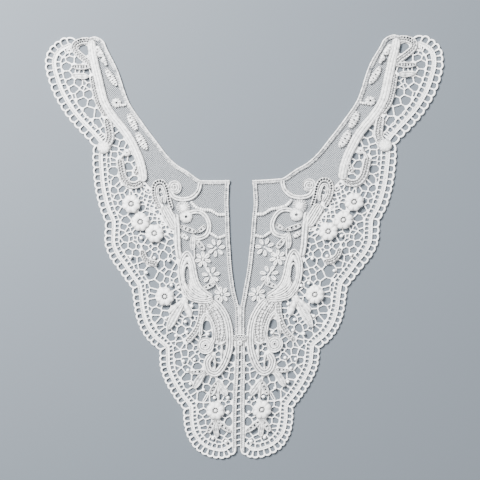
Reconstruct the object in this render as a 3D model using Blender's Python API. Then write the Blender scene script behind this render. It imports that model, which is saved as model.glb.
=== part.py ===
"""White guipure lace collar, laid out flat on its back.

The collar is an embroidered bib collar with two shoulder arms, a V neck and a front slit.
It is charted as an embroiderer charts it: columns run to the right and rows run down, one
stitch cell apart, and the left half is drawn. The right half is its mirror image, which lies
a little wider at the shoulders and a little narrower at the hem.
Real sizes are in millimetres, the finished meshes in metres, +Z up, +Y towards the shoulders.
The underside of every bottom layer is flat and lies on Z = 0.
"""
import math
from collections import namedtuple

import bmesh
import bpy
import numpy as np
from mathutils import Vector
from mathutils.geometry import delaunay_2d_cdt

# Driving sizes, in millimetres
CELL = 0.9                 # one stitch cell of the chart
SEAM = 0.3                 # clear seam between neighbouring pieces
GROUND_THICK = 1.4         # plump embroidered ground with its bars
NET_THICK = 1.0            # fine net inset
BRAID_THICK = 2.0          # corded neck and front braids
MOTIF_THICK = 1.0          # satin tapes, leaves and daisies laid on the ground or the net
TIE_THICK = 1.2            # bar that ties the two fronts together
TIE_SIZE = (12.4, 6.6)     # its width and height
ROPE_WIDE = 1.25           # outermost cord of the scalloped edge
LADDER_DEPTH = 5.0         # open part of the edge ladder, from the cord to the satin band
RUNG_WIDE = 1.3            # bars of the edge ladder
NECK_BRAID_WIDE = 4.1
FRONT_BRAID_WIDE = 3.7
FRONT_RUNG_WIDE = 1.1      # faggoting bars across the closed front
ROSETTE_RADIUS = 8.0
ROSETTE_HEIGHT = 2.0
BAR_WIDE = 1.15            # least width of a bar left between two gaps
FULLNESS = 1.08            # six-sided gaps are drawn this much over the oval's size
GAPS_CUT = 300             # through gaps of the whole collar, the largest first
SMALLEST_HOLE = 3.0        # square millimetres: smaller gaps between motifs are closed
DETAIL = 0.20              # how far a drawn edge may stray from its curve
SLACK = 0.12               # how far a finished border may stray from its drawn edges

ROOM = 1.02                # a ring's corners stand this much outside the circle that it clears

# How round things are drawn
ROUND_END = (60, 30, 0, -30, -60)    # corners of a round end, in degrees from straight ahead
BOSS_CORNERS = 14
LEAF_SPOTS = (0, 0.08, 0.3, 0.7, 0.92, 1)    # where a leaf's half width is read, along its spine
LEAF_TIP = 0.015           # share of the spine at which the blunt tip's width is read

# Rosettes: corners of the rim, its lobes and their depth, and the rings from the rim to the middle
# as shares of the radius and of the height
ROSETTE_SPOKES, ROSETTE_LOBES, ROSETTE_NOTCH = 16, 8, 0.07
ROSETTE_PROFILE = ((1.0, 0.45), (0.62, 1.0), (0.28, 0.66))
LOBED_FROM = 0.5           # rings outside this share of the radius follow the lobes

# Places on the chart, in cells
CENTRE_COL = 240.3         # centre front
TIE_AT = (240.3, 337.2)
SIDES = {"left": -1, "right": 1}


def table(columns, *rows):
    """Rows with named columns."""
    row_type = namedtuple("Row", columns)
    return [row_type(*row) for row in rows]


# How the right half lies: each row of the chart is spread by a share of its reach from the centre,
# and its front is drawn towards the centre by so many cells
RIGHT_LAY = table(
    "row spread draw",
    (35, 0.055, 0), (61, 0.040, 0), (147, 0.060, 0), (205, 0.045, -1.5), (226, 0.030, 0),
    (289, -0.010, 2.6), (310, -0.012, 0.8), (350, -0.015, 0.4), (376, -0.039, 1.5), (390, -0.052, 3.0),
    (410, -0.070, 4.0), (460, -0.060, 4.2))
DRAW_FADES = 40.0          # reach in cells at which the draw has faded out
RIGHT_LIFT = 2.0           # cells that the right half lies higher, away from the centre
LIFT_STARTS, LIFT_WHOLE = 12.0, 40.0

# The scalloped edge, scallop by scallop from the shoulder tip to the centre front
SCALLOPS = table(
    "name gaps knots",
    ("shoulder", 20, ((77, 38.2), (69.5, 35.9), (61.5, 38.4), (54, 43), (48, 50), (44.7, 60),
                      (45.5, 71), (48, 80), (53, 94), (60, 107), (67, 117.5), (76, 128),
                      (84, 136.5), (93.5, 146.5))),
    ("underarm", 11, ((93.5, 147), (92.2, 156), (92.7, 166), (94.3, 185), (97.5, 201), (101, 213),
                      (105, 222))),
    ("side", 12, ((105, 222), (104.2, 235), (104.6, 246), (110, 259), (117.8, 269.7), (125.4, 281),
                  (132, 289))),
    ("front", 11, ((132, 289), (133.2, 298), (135, 312), (138.8, 325), (144, 335), (151, 343.5),
                   (160, 350))),
    ("skirt", 11, ((160, 350), (159.5, 358), (160.5, 369), (166, 383.5), (175.7, 399.7),
                   (184, 409.5))),
    ("hem", 13, ((184, 410), (184.2, 420), (186.3, 432), (193.9, 446.5), (204, 454), (216, 457.6),
                 (227, 457.2), (236, 451.5))))

# Long edges and seams
NECK_EDGE = ((90, 37.6), (95, 36.6), (100, 38.2), (104.5, 42), (107.5, 49), (118, 70), (125.4, 92),
             (130.8, 104.8), (140.4, 119), (149.5, 131.6), (158.4, 143.2), (167.5, 155.2),
             (177, 164.5), (188, 171.3), (199, 179.3), (205, 180.2), (229.6, 180.2))
FRONT_BRAID = ((227.3, 180), (226.4, 200), (227, 216), (227.6, 236), (228.6, 251), (229.6, 266),
               (231.4, 281), (233, 291), (235.4, 301), (237.2, 309), (237.6, 322), (237.6, 338),
               (237.2, 352), (236.2, 376), (235, 396), (234.3, 420), (234.4, 451))
NET_SEAM = ((90, 37.4), (91.9, 43), (92.7, 52), (95, 64), (98.5, 77), (101.5, 90), (104.5, 101),
            (109, 111), (115.5, 120), (122.5, 128.5), (129, 137.5), (134.5, 148), (139.5, 160),
            (142.5, 171), (144, 180), (151, 188), (160, 193), (163, 205), (169, 217), (175.5, 229),
            (178, 243), (180.5, 260), (182, 275), (187, 289), (196, 297), (208, 299.5), (219, 308),
            (225, 317), (228.5, 327), (230.5, 338), (237.6, 339))
FRONT_RUNG_ROWS = (361, 372, 383, 393, 404, 415, 426, 437, 446)
FRONT_RUNG_RISE = 1.6      # cells that a bar climbs towards the right

# Gaps of the bar ground, as ovals: size across and down in cells, tilt in degrees clockwise
SHOULDER_GAPS = table(
    "col row wide tall tilt",
    (66.8, 66.5, 9, 8, 0), (67.5, 75.3, 8.5, 7, 0), (70.3, 82.3, 6, 8, 20),
    (78.8, 83.2, 7.5, 7, 35), (74.3, 89.3, 6.5, 9.5, 0), (79.6, 94.8, 5.2, 11.5, 20),
    (88, 94.3, 10, 6, 42), (82.7, 102, 7, 12, 12), (91.8, 104, 11, 4.6, 48),
    (89.2, 112.6, 7.6, 16, -20), (97.7, 113.6, 4.8, 8.5, -28), (97.8, 123.8, 6.4, 12.5, -14),
    (119.8, 135.3, 5.8, 8, -35), (70, 59.6, 10, 4.6, 14), (79.3, 60.4, 12, 4.6, 34),
    (87.3, 72.4, 4.6, 6.4, -10), (83.9, 51, 7.4, 13.5, -38))
SIDE_GAPS = table(
    "col row wide tall tilt",
    (113, 171, 7.6, 9, 0), (115, 181.5, 4.8, 11.5, 28), (122.2, 189.6, 5.8, 5.6, 35),
    (114.6, 155.2, 9.5, 4.5, 42), (129, 166.6, 5.8, 9, -35), (134, 179.6, 8.6, 4.5, 0),
    (147.8, 191.3, 4.8, 4.8, 45), (142.6, 207.4, 5.8, 4.4, -35), (146.6, 213.4, 5.4, 4.6, 20),
    (155, 223.4, 4.6, 4.6, 0), (123.2, 211.8, 6, 10.5, -32), (126, 220.4, 10, 6, 10),
    (124, 226.8, 7, 6.4, 0), (136.6, 232.4, 7.8, 4.8, 0), (125.6, 238.3, 7, 7, 45),
    (132.5, 245.6, 7.6, 5.6, 0), (141.7, 238.5, 7.8, 9, 0), (147.6, 242.3, 5.4, 5.4, 0),
    (145.5, 248.4, 6.6, 6.4, 0), (149.2, 253.6, 5, 8, 25), (155, 256, 8.4, 6.2, 0),
    (161.5, 246.4, 7.6, 4.6, -25), (168.2, 249.8, 9, 5.2, 38), (164, 254.9, 9.4, 7, 10),
    (175.3, 252.6, 4.5, 7, 15), (160.3, 265, 5.2, 11.5, 0), (169.7, 264, 10, 10.5, 0),
    (133.8, 260.4, 4.6, 9.4, -12), (141.9, 265.8, 4.8, 9, 28), (151.2, 273.4, 12, 13.5, 0))
FRONT_GAPS = table(
    "col row wide tall tilt",
    (159.4, 277.6, 8, 11.5, 0), (168.4, 273.2, 5.8, 5.4, 0), (173.9, 275.8, 8.4, 4.6, -22),
    (166.8, 280.6, 5.4, 7, -5), (177.1, 280.4, 5.6, 6.4, 20), (171.6, 286.4, 8, 8, 0),
    (180.4, 286.9, 7, 7.6, 0), (154.4, 284.4, 14.5, 6.4, 18), (152.8, 290.6, 9, 4.5, 32),
    (153, 303, 8.6, 7.8, 12), (156, 311.4, 10.4, 6.6, -5), (155.8, 318, 9.6, 4.6, -25),
    (160.4, 322.1, 11, 4.6, -28), (180, 301.9, 5.2, 5, -35), (187, 322, 6.8, 12, -8),
    (194, 324, 4.6, 8, 10), (181, 330, 6, 11.5, 5), (171.6, 336.8, 11, 8, -28),
    (189, 331.2, 8, 5, -28), (163.6, 331.3, 9.6, 4.4, -42), (180, 343.9, 11.5, 4.6, -18),
    (190.1, 346.7, 6.2, 6.8, 0), (178, 355, 5, 9, 4), (184.9, 353, 6.6, 6, -10),
    (179, 363, 6.6, 5.6, -5), (191.7, 353.9, 8.8, 4.5, -42), (195.6, 358.4, 7.4, 9.5, 0),
    (202.9, 355, 9.2, 6.8, 0), (185.2, 360.7, 4.8, 6.4, 0), (197.3, 366, 13.5, 4.8, -22))
SKIRT_GAPS = table(
    "col row wide tall tilt",
    (181, 372.8, 5.4, 8.6, 8), (186.7, 377.2, 11, 6.8, -10), (187.8, 385, 8, 7, 20),
    (191.8, 391.6, 5.2, 8, 22), (199, 386, 4.4, 11, 28), (207, 379.5, 4.8, 10.5, 22),
    (212, 381.6, 5, 9, 18), (207, 387.9, 5.6, 6.4, 0), (202.3, 396.6, 7.6, 15, 26),
    (194.6, 396, 4.5, 9, 30), (206.4, 398.9, 4.4, 9, 35), (200.4, 406, 5, 6.2, 15),
    (206.9, 405.6, 5.4, 5, 0), (203, 411.9, 6.2, 6.6, 0), (202.8, 422.4, 5, 7.4, 10),
    (206.9, 435.2, 6.2, 4.6, -12), (213.4, 398.4, 6.6, 8, 0), (222.9, 431.6, 5.8, 9, -15),
    (228.6, 421.8, 7, 8, -30), (229, 408.7, 7.8, 8.8, 0), (230, 396, 6, 8, 0),
    (207, 326.4, 7, 9.2, 0), (210.4, 334.6, 4.6, 6.6, 0), (225.8, 374.6, 4.5, 8, 0),
    (226, 383, 4.6, 5.2, 0), (232, 358, 4.5, 11, 6), (231.9, 376.4, 5.4, 7, -15),
    (231.3, 387, 5.6, 8.6, -5), (196, 313.3, 5.4, 4.6, 0), (195.4, 306.2, 4.8, 8.6, -10))

# Rosettes: where their pearl sits
ROSETTES = table(
    "name col row",
    ("rosette_upper", 131.5, 204), ("rosette_middle", 140.6, 222), ("rosette_lower", 154.6, 233.4),
    ("rosette_front", 165, 296.5), ("rosette_hem", 215.5, 410.3))

# Daisies in the net, on one stalk: petal reach in cells and first petal's angle in degrees
DAISIES = table(
    "col row reach turn",
    (216, 248, 9.2, 18), (203, 259.5, 8.2, 40), (211, 275.5, 9.2, 10), (222, 294.5, 8.2, 25))
DAISY_PETALS = 7
PETAL_WIDE = 3.4           # millimetres, at the waist
PETAL_WAIST = 0.65         # where the waist sits along the petal
PETAL_TIP = 0.5            # the tip's share of its width
DAISY_EYE, EYE_CORNERS = 2.3, 7      # radius in millimetres
STALK_WIDE = 1.6           # millimetres

# Satin motifs. A tape is a path with a width, a leaf has two tips and a width, a boss is round,
# and a field is an outline drawn through its knots. Widths and radii are in cells.
Tape = namedtuple("Tape", "wide knots")
Leaf = namedtuple("Leaf", "wide start end")
Boss = namedtuple("Boss", "radius centre")
Field = namedtuple("Field", "knots")

GROUND_LIFT = GROUND_THICK + SEAM
NET_LIFT = NET_THICK + SEAM

MOTIFS = table(
    "name lift shapes",
    ("shoulder_tape", GROUND_LIFT, (
        Tape(8.4, ((91.7, 40.6), (92.5, 52), (94.8, 64), (98, 77), (101, 90), (104, 101),
                   (109, 111), (115.5, 120), (122.5, 128.5), (129, 137.5), (134.5, 148),
                   (139.5, 160), (142.5, 171), (143.6, 181.5))),
        Tape(6.0, ((92.5, 76), (95, 90), (99, 104), (106, 115))),
        Tape(6.6, ((91, 40.9), (82, 41.3), (75.6, 44.6), (75.2, 50), (81, 56.2), (88, 61.8),
                   (93.5, 68))),
        Tape(5.0, ((134, 150), (137.3, 157), (138, 166), (134.6, 174))),
        Leaf(6.0, (72, 66.6), (91, 66.6)),
        Leaf(6.6, (72.5, 75.4), (93, 77.6)),
        Leaf(8.0, (96.5, 45.5), (103, 64.5)))),
    ("crescent_tape", GROUND_LIFT, (
        Tape(9.0, ((107, 118.5), (109, 128), (110, 138), (106.5, 146))),
        Boss(6.4, (103.8, 147.4)))),
    ("big_paisley", GROUND_LIFT, (
        Tape(7.4, ((119.8, 159), (121.3, 168), (123.6, 177.5), (128.6, 184), (136, 185),
                   (142, 181.5))),
        Boss(3.6, (127, 152.8)),
        Tape(2.8, ((119.8, 161), (122.5, 156), (127, 152.8))))),
    ("scroll", GROUND_LIFT, (
        Boss(9.2, (160, 189.6)),
        Tape(11.6, ((160.5, 192), (163, 205), (169, 217), (175, 228))),
        Tape(5.2, ((176, 216), (178, 230), (178, 247), (179.6, 258))))),
    ("spiral_hook", NET_LIFT, (
        Boss(6.8, (174.6, 187.4)),
        Tape(4.6, ((200.5, 182.5), (198.2, 191), (191.5, 197.6), (182, 199.4), (174, 197),
                   (170, 190.5))))),
    ("petal_loop", NET_LIFT, (
        Boss(7.4, (183.4, 208)),
        Boss(6.6, (186.2, 216.8)),
        Tape(4.8, ((188, 213.5), (196, 211.6), (203, 213.6), (208, 220), (209.4, 228), (206, 235.4),
                   (198, 238.4), (193, 236))),
        Boss(3.6, (202, 229)),
        Tape(3.0, ((206, 233.5), (202, 229))),
        Tape(3.4, ((191, 201.5), (196, 207.2), (203, 209.8), (211, 210.6), (218, 214.4),
                   (226, 214.4))),
        Tape(2.8, ((209, 232), (215, 236), (219, 237.6), (226, 235))),
        Leaf(5.0, (180, 226), (196.5, 232)),
        Leaf(6.2, (192.4, 231), (193.6, 250)),
        Leaf(6.0, (195.6, 238), (204.4, 250)))),
    ("arch_paisley", GROUND_LIFT, (
        Field(((187, 250.6), (181.5, 256), (178.6, 266), (180.2, 277), (183.4, 288), (187, 296.5),
               (196, 301), (206, 302.5), (214.5, 298), (208, 292.4), (201.6, 287), (198.4, 278),
               (196.2, 267), (193, 256.5))),
        Leaf(5.2, (201, 289.5), (215, 282.6)))),
    ("sweep_tapes", GROUND_LIFT, (
        Tape(6.4, ((213, 300.5), (219.4, 308), (225, 316.8), (228.4, 327), (229.6, 338),
                   (228.4, 350), (225.4, 361), (220, 369), (213, 373), (207, 368.4), (207, 360.6),
                   (212, 354))),
        Tape(5.0, ((205.5, 303), (210.5, 309.5), (216.4, 318.4), (220, 327.4), (221.2, 336.4),
                   (219.6, 345), (214, 353))),
        Boss(6.0, (214, 364)))),
    ("spiral_eye", GROUND_LIFT, (
        Boss(8.2, (205.5, 345.4)),
        Tape(4.2, ((203, 334), (203.2, 322), (206, 314.6), (210, 319.8), (212.8, 328.4),
                   (213.4, 338), (210, 346))),
        Tape(6.6, ((202, 304.5), (201.6, 313), (199.6, 322), (195.6, 331), (189.6, 338.4),
                   (186, 341))))),
    ("leaf_fan", GROUND_LIFT, (
        Boss(4.2, (184.2, 301)),
        Leaf(4.6, (184.5, 299), (169, 313)),
        Leaf(8.4, (185, 300), (168, 329)),
        Leaf(6.4, (184.5, 299), (191, 317)))),
    ("bent_leaf", GROUND_LIFT, (
        Tape(6.2, ((142.4, 250), (144.2, 257), (149.4, 261.8), (157.4, 263.6))),)),
    ("skirt_leaves", GROUND_LIFT, (
        Leaf(5.2, (190, 371.6), (205, 371)),
        Leaf(7.4, (205.6, 371), (194, 388)))),
    ("bud_spray", GROUND_LIFT, (
        Leaf(6.4, (219, 379.5), (210.6, 395.5)),
        Leaf(7.4, (217.4, 379.5), (227, 395)),
        Tape(2.8, ((218.2, 382), (218.4, 399))))),
    ("hem_spray", GROUND_LIFT, (
        Leaf(5.8, (216, 419), (208, 432.5)),
        Leaf(5.2, (215.6, 419), (217.2, 437)),
        Leaf(5.8, (214.6, 419), (231, 431)))),
    ("net_leaf_upper", NET_LIFT, (Leaf(6.6, (106, 68.5), (117, 86)),)),
    ("net_leaf_middle", NET_LIFT, (Leaf(7.2, (128.6, 113.5), (137, 130.5)),)),
    ("net_leaf_lower", NET_LIFT, (Leaf(7.8, (137, 132.5), (147, 149.5)),)),
    ("net_bud", NET_LIFT, (
        Boss(4.6, (116.6, 103)),
        Tape(2.6, ((116.6, 104), (126, 104.4))))))


# Flat geometry. Points are rows of an array, in millimetres: x is the reach from the centre
# front, positive towards the side seam of the drawn half, and y runs up from row zero.

def on_chart(knots):
    """Chart cells to millimetres from the centre front and from row zero."""
    cells = np.array(knots, float).reshape(-1, 2)
    return np.column_stack([(CENTRE_COL - cells[:, 0]) * CELL, -cells[:, 1] * CELL])


def smooth(points, step=0.9):
    """A Catmull-Rom curve through the points, read about every step millimetres."""
    if len(points) < 3:
        return points
    ends = np.vstack([2 * points[0] - points[1], points, 2 * points[-1] - points[-2]])
    spans = []
    for before, start, end, after in zip(ends, ends[1:], ends[2:], ends[3:]):
        count = max(2, int(np.linalg.norm(end - start) / step))
        t = np.linspace(0, 1, count, endpoint=False)[:, None]
        spans.append(0.5 * (2 * start + (end - before) * t
                            + (2 * before - 5 * start + 4 * end - after) * t ** 2
                            + (3 * start - before - 3 * end + after) * t ** 3))
    return np.vstack(spans + [points[-1:]])


def curve(knots):
    """A smooth curve through knots of the chart, with only the points that its shape needs."""
    return thinned(smooth(on_chart(knots)), DETAIL)


def sideways(path):
    """Unit vectors to the left of the direction of travel, halfway between the two runs at a bend."""
    runs = np.diff(path, axis=0)
    runs /= np.linalg.norm(runs, axis=1)[:, None]
    along = np.vstack([runs[:1], runs[1:] + runs[:-1], runs[-1:]])
    along /= np.linalg.norm(along, axis=1)[:, None]
    return np.column_stack([-along[:, 1], along[:, 0]])


def band(path, right, left, round_ends=False):
    """The strip between two offsets of a path, with round ends if asked."""
    side = sideways(path)
    edge_left, edge_right = path + side * left, path - side * right
    if not round_ends:
        return np.vstack([edge_left, edge_right[::-1]])
    middle, radius = (left - right) / 2, (left + right) / 2
    turn = np.radians(ROUND_END)[:, None]
    front = path[-1] + side[-1] * middle
    ahead = np.array([side[-1][1], -side[-1][0]])
    nose = front + radius * (np.cos(turn) * ahead + np.sin(turn) * side[-1])
    rear = path[0] + side[0] * middle
    behind = -np.array([side[0][1], -side[0][0]])
    heel = rear + radius * (np.cos(turn) * behind - np.sin(turn) * side[0])
    return np.vstack([edge_left, nose, edge_right[::-1], heel])


def oval(centre, wide, tall, tilt, corners):
    """An oval whose long way is tilted clockwise."""
    angle = np.arange(corners) * 2 * math.pi / corners + math.pi / corners
    x, y = wide / 2 * np.cos(angle), tall / 2 * np.sin(angle)
    lean = math.radians(tilt)
    # the drawn half is mirrored about the centre front, so a clockwise tilt turns the other way
    return np.array(centre) + np.column_stack([-(x * math.cos(lean) - y * math.sin(lean)),
                                               -(x * math.sin(lean) + y * math.cos(lean))])


def leaf_outline(start, end, wide):
    """A blunt oval between two tips: its half width follows the root of a sine."""
    t = np.array(LEAF_SPOTS)[:, None]
    spine = start + (end - start) * t
    across = sideways(spine) * wide / 2 * np.sqrt(np.sin(math.pi * np.clip(t, LEAF_TIP, 1 - LEAF_TIP)))
    return np.vstack([spine + across, (spine - across)[::-1]])


def outline(shape, grow=0.0):
    """A satin shape's outline, grown all round by so many millimetres."""
    if isinstance(shape, Tape):
        half = shape.wide * CELL / 2 + grow
        return band(curve(shape.knots), half, half, round_ends=True)
    if isinstance(shape, Leaf):
        start, end = on_chart((shape.start, shape.end))
        ahead = (end - start) / np.linalg.norm(end - start)
        return leaf_outline(start - ahead * grow, end + ahead * grow, shape.wide * CELL + 2 * grow)
    if isinstance(shape, Boss):
        size = 2 * (shape.radius * CELL + grow)
        return oval(on_chart(shape.centre)[0], size, size, 0, BOSS_CORNERS)
    ring = on_chart(shape.knots)
    ring = simplified(smooth(np.vstack([ring, ring[:1]]))[:-1], DETAIL)
    return ring - grow * ring_side(ring)


def ring_side(ring):
    """Unit vectors that point into a closed ring."""
    along = np.roll(ring, -1, axis=0) - np.roll(ring, 1, axis=0)
    along /= np.linalg.norm(along, axis=1)[:, None]
    inward = np.column_stack([-along[:, 1], along[:, 0]])
    return inward if signed_area(ring) > 0 else -inward


def signed_area(ring):
    x, y = ring[:, 0], ring[:, 1]
    return 0.5 * float(np.sum(x * np.roll(y, -1) - y * np.roll(x, -1)))


# The scalloped edge

def scallop_paths():
    return [(row, curve(row.knots)) for row in SCALLOPS]


def edge_gaps():
    """The openings of the edge ladder: an even row of four-sided gaps along each scallop."""
    gaps = []
    for row, path in scallop_paths():
        inward = -sideways(path)
        run = np.concatenate([[0], np.cumsum(np.linalg.norm(np.diff(path, axis=0), axis=1))])
        pitch = run[-1] / row.gaps
        for index in range(row.gaps):
            ends = np.array([index * pitch + RUNG_WIDE / 2, (index + 1) * pitch - RUNG_WIDE / 2])
            at = np.column_stack([np.interp(ends, run, path[:, axis]) for axis in (0, 1)])
            side = np.column_stack([np.interp(ends, run, inward[:, axis]) for axis in (0, 1)])
            outer, inner = at + side * ROPE_WIDE, at + side * (ROPE_WIDE + LADDER_DEPTH)
            gaps.append(np.vstack([outer, inner[::-1]]))
    return gaps


def bar_gaps(count):
    """The largest gaps of the bar ground, each trimmed where it would come near its neighbour.

    Two ovals are parted along the straight line on which their powers are equal, less half a bar.
    """
    rows = SHOULDER_GAPS + SIDE_GAPS + FRONT_GAPS + SKIRT_GAPS
    rows = sorted(rows, key=lambda gap: -gap.wide * gap.tall)[:count]
    centres = on_chart([(gap.col, gap.row) for gap in rows])
    radii = np.array([math.sqrt(gap.wide * gap.tall) / 2 * CELL for gap in rows])
    gaps = []
    for index, gap in enumerate(rows):
        ring = oval(centres[index], gap.wide * CELL * FULLNESS, gap.tall * CELL * FULLNESS, gap.tilt, 6)
        ring = ring if signed_area(ring) > 0 else ring[::-1]
        for other, centre in enumerate(centres):
            apart = centre - centres[index]
            distance = np.linalg.norm(apart)
            if 0 < distance < 2.5 * (radii[index] + radii[other]):
                reach = (distance ** 2 + radii[index] ** 2 - radii[other] ** 2) / (2 * distance)
                normal = apart / distance
                ring = clipped(ring, normal, float(normal @ centres[index]) + reach - BAR_WIDE / 2)
        gaps.append(ring)
    return gaps


def clipped(ring, normal, limit):
    """The part of a convex ring on the near side of a line."""
    heights = ring @ normal - limit
    kept = []
    for here, there, low, high in zip(ring, np.roll(ring, -1, axis=0), heights, np.roll(heights, -1)):
        if low <= 0:
            kept.append(here)
        if (low < 0 < high) or (high < 0 < low):
            kept.append(here + (there - here) * low / (low - high))
    return np.array(kept)


# From outlines to solids

def lay(points, side):
    """Lay one half on the table: x to the right, y up, about the centre front."""
    reach, height = points[:, 0], points[:, 1]
    if side < 0:
        return np.column_stack([-reach, height])
    rows = [entry.row for entry in RIGHT_LAY]
    spread = np.interp(-height / CELL, rows, [entry.spread for entry in RIGHT_LAY])
    draw = np.interp(-height / CELL, rows, [entry.draw for entry in RIGHT_LAY]) * CELL
    draw = draw * np.clip(1 - reach / (DRAW_FADES * CELL), 0, 1)
    lift = np.clip((reach / CELL - LIFT_STARTS) / (LIFT_WHOLE - LIFT_STARTS), 0, 1) * RIGHT_LIFT * CELL
    return np.column_stack([reach * (1 + spread) - draw, height + lift])


def triangulate(rings, keep):
    """Constrained Delaunay triangles of all rings, kept by the rings that cover each one's middle."""
    rings = [ring if signed_area(ring) > 0 else ring[::-1] for ring in rings]
    points, faces = [], []
    for ring in rings:
        faces.append(list(range(len(points), len(points) + len(ring))))
        points.extend(Vector(point) for point in ring)
    corners, _, triangles, _, _, _ = delaunay_2d_cdt(points, [], faces, 0, 1e-5)
    corners = np.array([tuple(corner) for corner in corners])
    middles = corners[np.array(triangles)].mean(axis=1)
    cover = np.array([covers(ring, middles) for ring in rings])
    kept = [tuple(triangle) for triangle, within in zip(triangles, cover.T) if keep(within)]
    return corners, kept


def covers(ring, spots):
    """Whether a ring that turns left winds round each spot."""
    start, end = ring[:, None], np.roll(ring, -1, axis=0)[:, None]
    left_of = ((end - start)[..., 0] * (spots[:, 1] - start[..., 1])
               - (end - start)[..., 1] * (spots[:, 0] - start[..., 0]))
    rises = (start[..., 1] <= spots[:, 1]) & (end[..., 1] > spots[:, 1]) & (left_of > 0)
    falls = (start[..., 1] > spots[:, 1]) & (end[..., 1] <= spots[:, 1]) & (left_of < 0)
    return rises.sum(axis=0) - falls.sum(axis=0) > 0


def largest_piece(triangles):
    """The largest set of triangles that hang together along their edges."""
    owners = {}
    for index, triangle in enumerate(triangles):
        for edge in zip(triangle, triangle[1:] + triangle[:1]):
            owners.setdefault(frozenset(edge), []).append(index)
    seen, best = set(), []
    for start in range(len(triangles)):
        if start in seen:
            continue
        seen.add(start)
        piece, waiting = [], [start]
        while waiting:
            index = waiting.pop()
            piece.append(index)
            triangle = triangles[index]
            for edge in zip(triangle, triangle[1:] + triangle[:1]):
                for other in owners[frozenset(edge)]:
                    if other not in seen:
                        seen.add(other)
                        waiting.append(other)
        if len(piece) > len(best):
            best = piece
    return [triangles[index] for index in best]


def without_pinches(corners, triangles):
    """Drop the smaller side wherever two parts of a piece meet in a single point."""
    while True:
        triangles = largest_piece(triangles)
        edges = {edge for triangle in triangles for edge in zip(triangle, triangle[1:] + triangle[:1])}
        starts = [start for start, end in edges if (end, start) not in edges]
        pinches = {start for start in starts if starts.count(start) > 1}
        if not pinches:
            return triangles
        point = min(pinches)
        around = [triangle for triangle in triangles if point in triangle]
        fans = []
        while around:
            fan = [around.pop()]
            grew = True
            while grew:
                near = [other for other in around
                        if any(len(set(other) & set(one)) == 2 for one in fan)]
                grew = bool(near)
                fan += near
                around = [other for other in around if other not in near]
            fans.append(fan)
        widest = max(fans, key=lambda fan: sum(abs(signed_area(corners[list(one)])) for one in fan))
        dropped = {one for fan in fans if fan is not widest for one in fan}
        triangles = [triangle for triangle in triangles if triangle not in dropped]


def border_rings(corners, triangles):
    """The closed rings round a set of triangles: the outer one turns left, holes turn right."""
    edges = {edge for triangle in triangles for edge in zip(triangle, triangle[1:] + triangle[:1])}
    after = {start: end for start, end in edges if (end, start) not in edges}
    rings = []
    while after:
        start, here = after.popitem()
        ring = [start]
        while here != start:
            ring.append(here)
            here = after.pop(here)
        rings.append(corners[ring])
    return rings


def simplified(ring, stray):
    """The ring with only the points that keep it within the allowed stray."""
    far = int(np.argmax(np.linalg.norm(ring - ring[0], axis=1)))
    halves = [np.vstack([ring[:far + 1]]), np.vstack([ring[far:], ring[:1]])]
    return np.vstack([thinned(half, stray)[:-1] for half in halves])


def thinned(line, stray):
    """Douglas-Peucker thinning of an open line."""
    if len(line) < 3:
        return line
    chord = line[-1] - line[0]
    length = max(float(np.linalg.norm(chord)), 1e-9)
    away = line - line[0]
    offset = np.abs(chord[0] * away[:, 1] - chord[1] * away[:, 0]) / length
    worst = int(np.argmax(offset))
    if offset[worst] <= stray:
        return line[[0, -1]]
    return np.vstack([thinned(line[:worst + 1], stray)[:-1], thinned(line[worst:], stray)])


def region(added, removed, side):
    """The largest piece of some outlines less others, as an outer ring and its holes."""
    rings = [lay(ring, side) for ring in added + removed]
    count = len(added)
    corners, triangles = triangulate(
        rings, lambda within: within[:count].any() and not within[count:].any())
    borders = border_rings(corners, without_pinches(corners, triangles))
    kept = [ring for ring in borders if signed_area(ring) > 0 or signed_area(ring) < -SMALLEST_HOLE]
    return [simplified(ring, SLACK) for ring in kept]


def wall(name, rings, base, thick, material):
    """A flat wall with upright edges, between a base height and its top."""
    outer = max(range(len(rings)), key=lambda index: abs(signed_area(rings[index])))
    corners, triangles = triangulate(rings, lambda within: within[outer] and within.sum() == 1)
    used = sorted({corner for triangle in triangles for corner in triangle})
    place = {corner: index for index, corner in enumerate(used)}
    flat = corners[used]
    count = len(flat)
    low = np.column_stack([flat, np.full(count, base)])
    high = np.column_stack([flat, np.full(count, base + thick)])
    faces = []
    edges = {edge for triangle in triangles for edge in zip(triangle, triangle[1:] + triangle[:1])}
    for first, second, third in triangles:
        a, b, c = place[first], place[second], place[third]
        faces += [(c, b, a), (a + count, b + count, c + count)]
    for start, end in sorted(edges):
        if (end, start) not in edges:
            a, b = place[start], place[end]
            faces.append((a, b, b + count, a + count))
    return solid(name, np.vstack([low, high]), faces, material)


def solid(name, points, faces, material):
    """A named object from points in millimetres about the chart, moved to its place in metres."""
    mesh = bpy.data.meshes.new(name)
    mesh.from_pydata([tuple(point) for point in points / 1000], [], faces)
    mesh.materials.append(material)
    work = bmesh.new()
    work.from_mesh(mesh)
    bmesh.ops.triangulate(work, faces=work.faces)
    work.to_mesh(mesh)
    work.free()
    piece = bpy.data.objects.new(name, mesh)
    bpy.context.scene.collection.objects.link(piece)
    return piece


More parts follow.
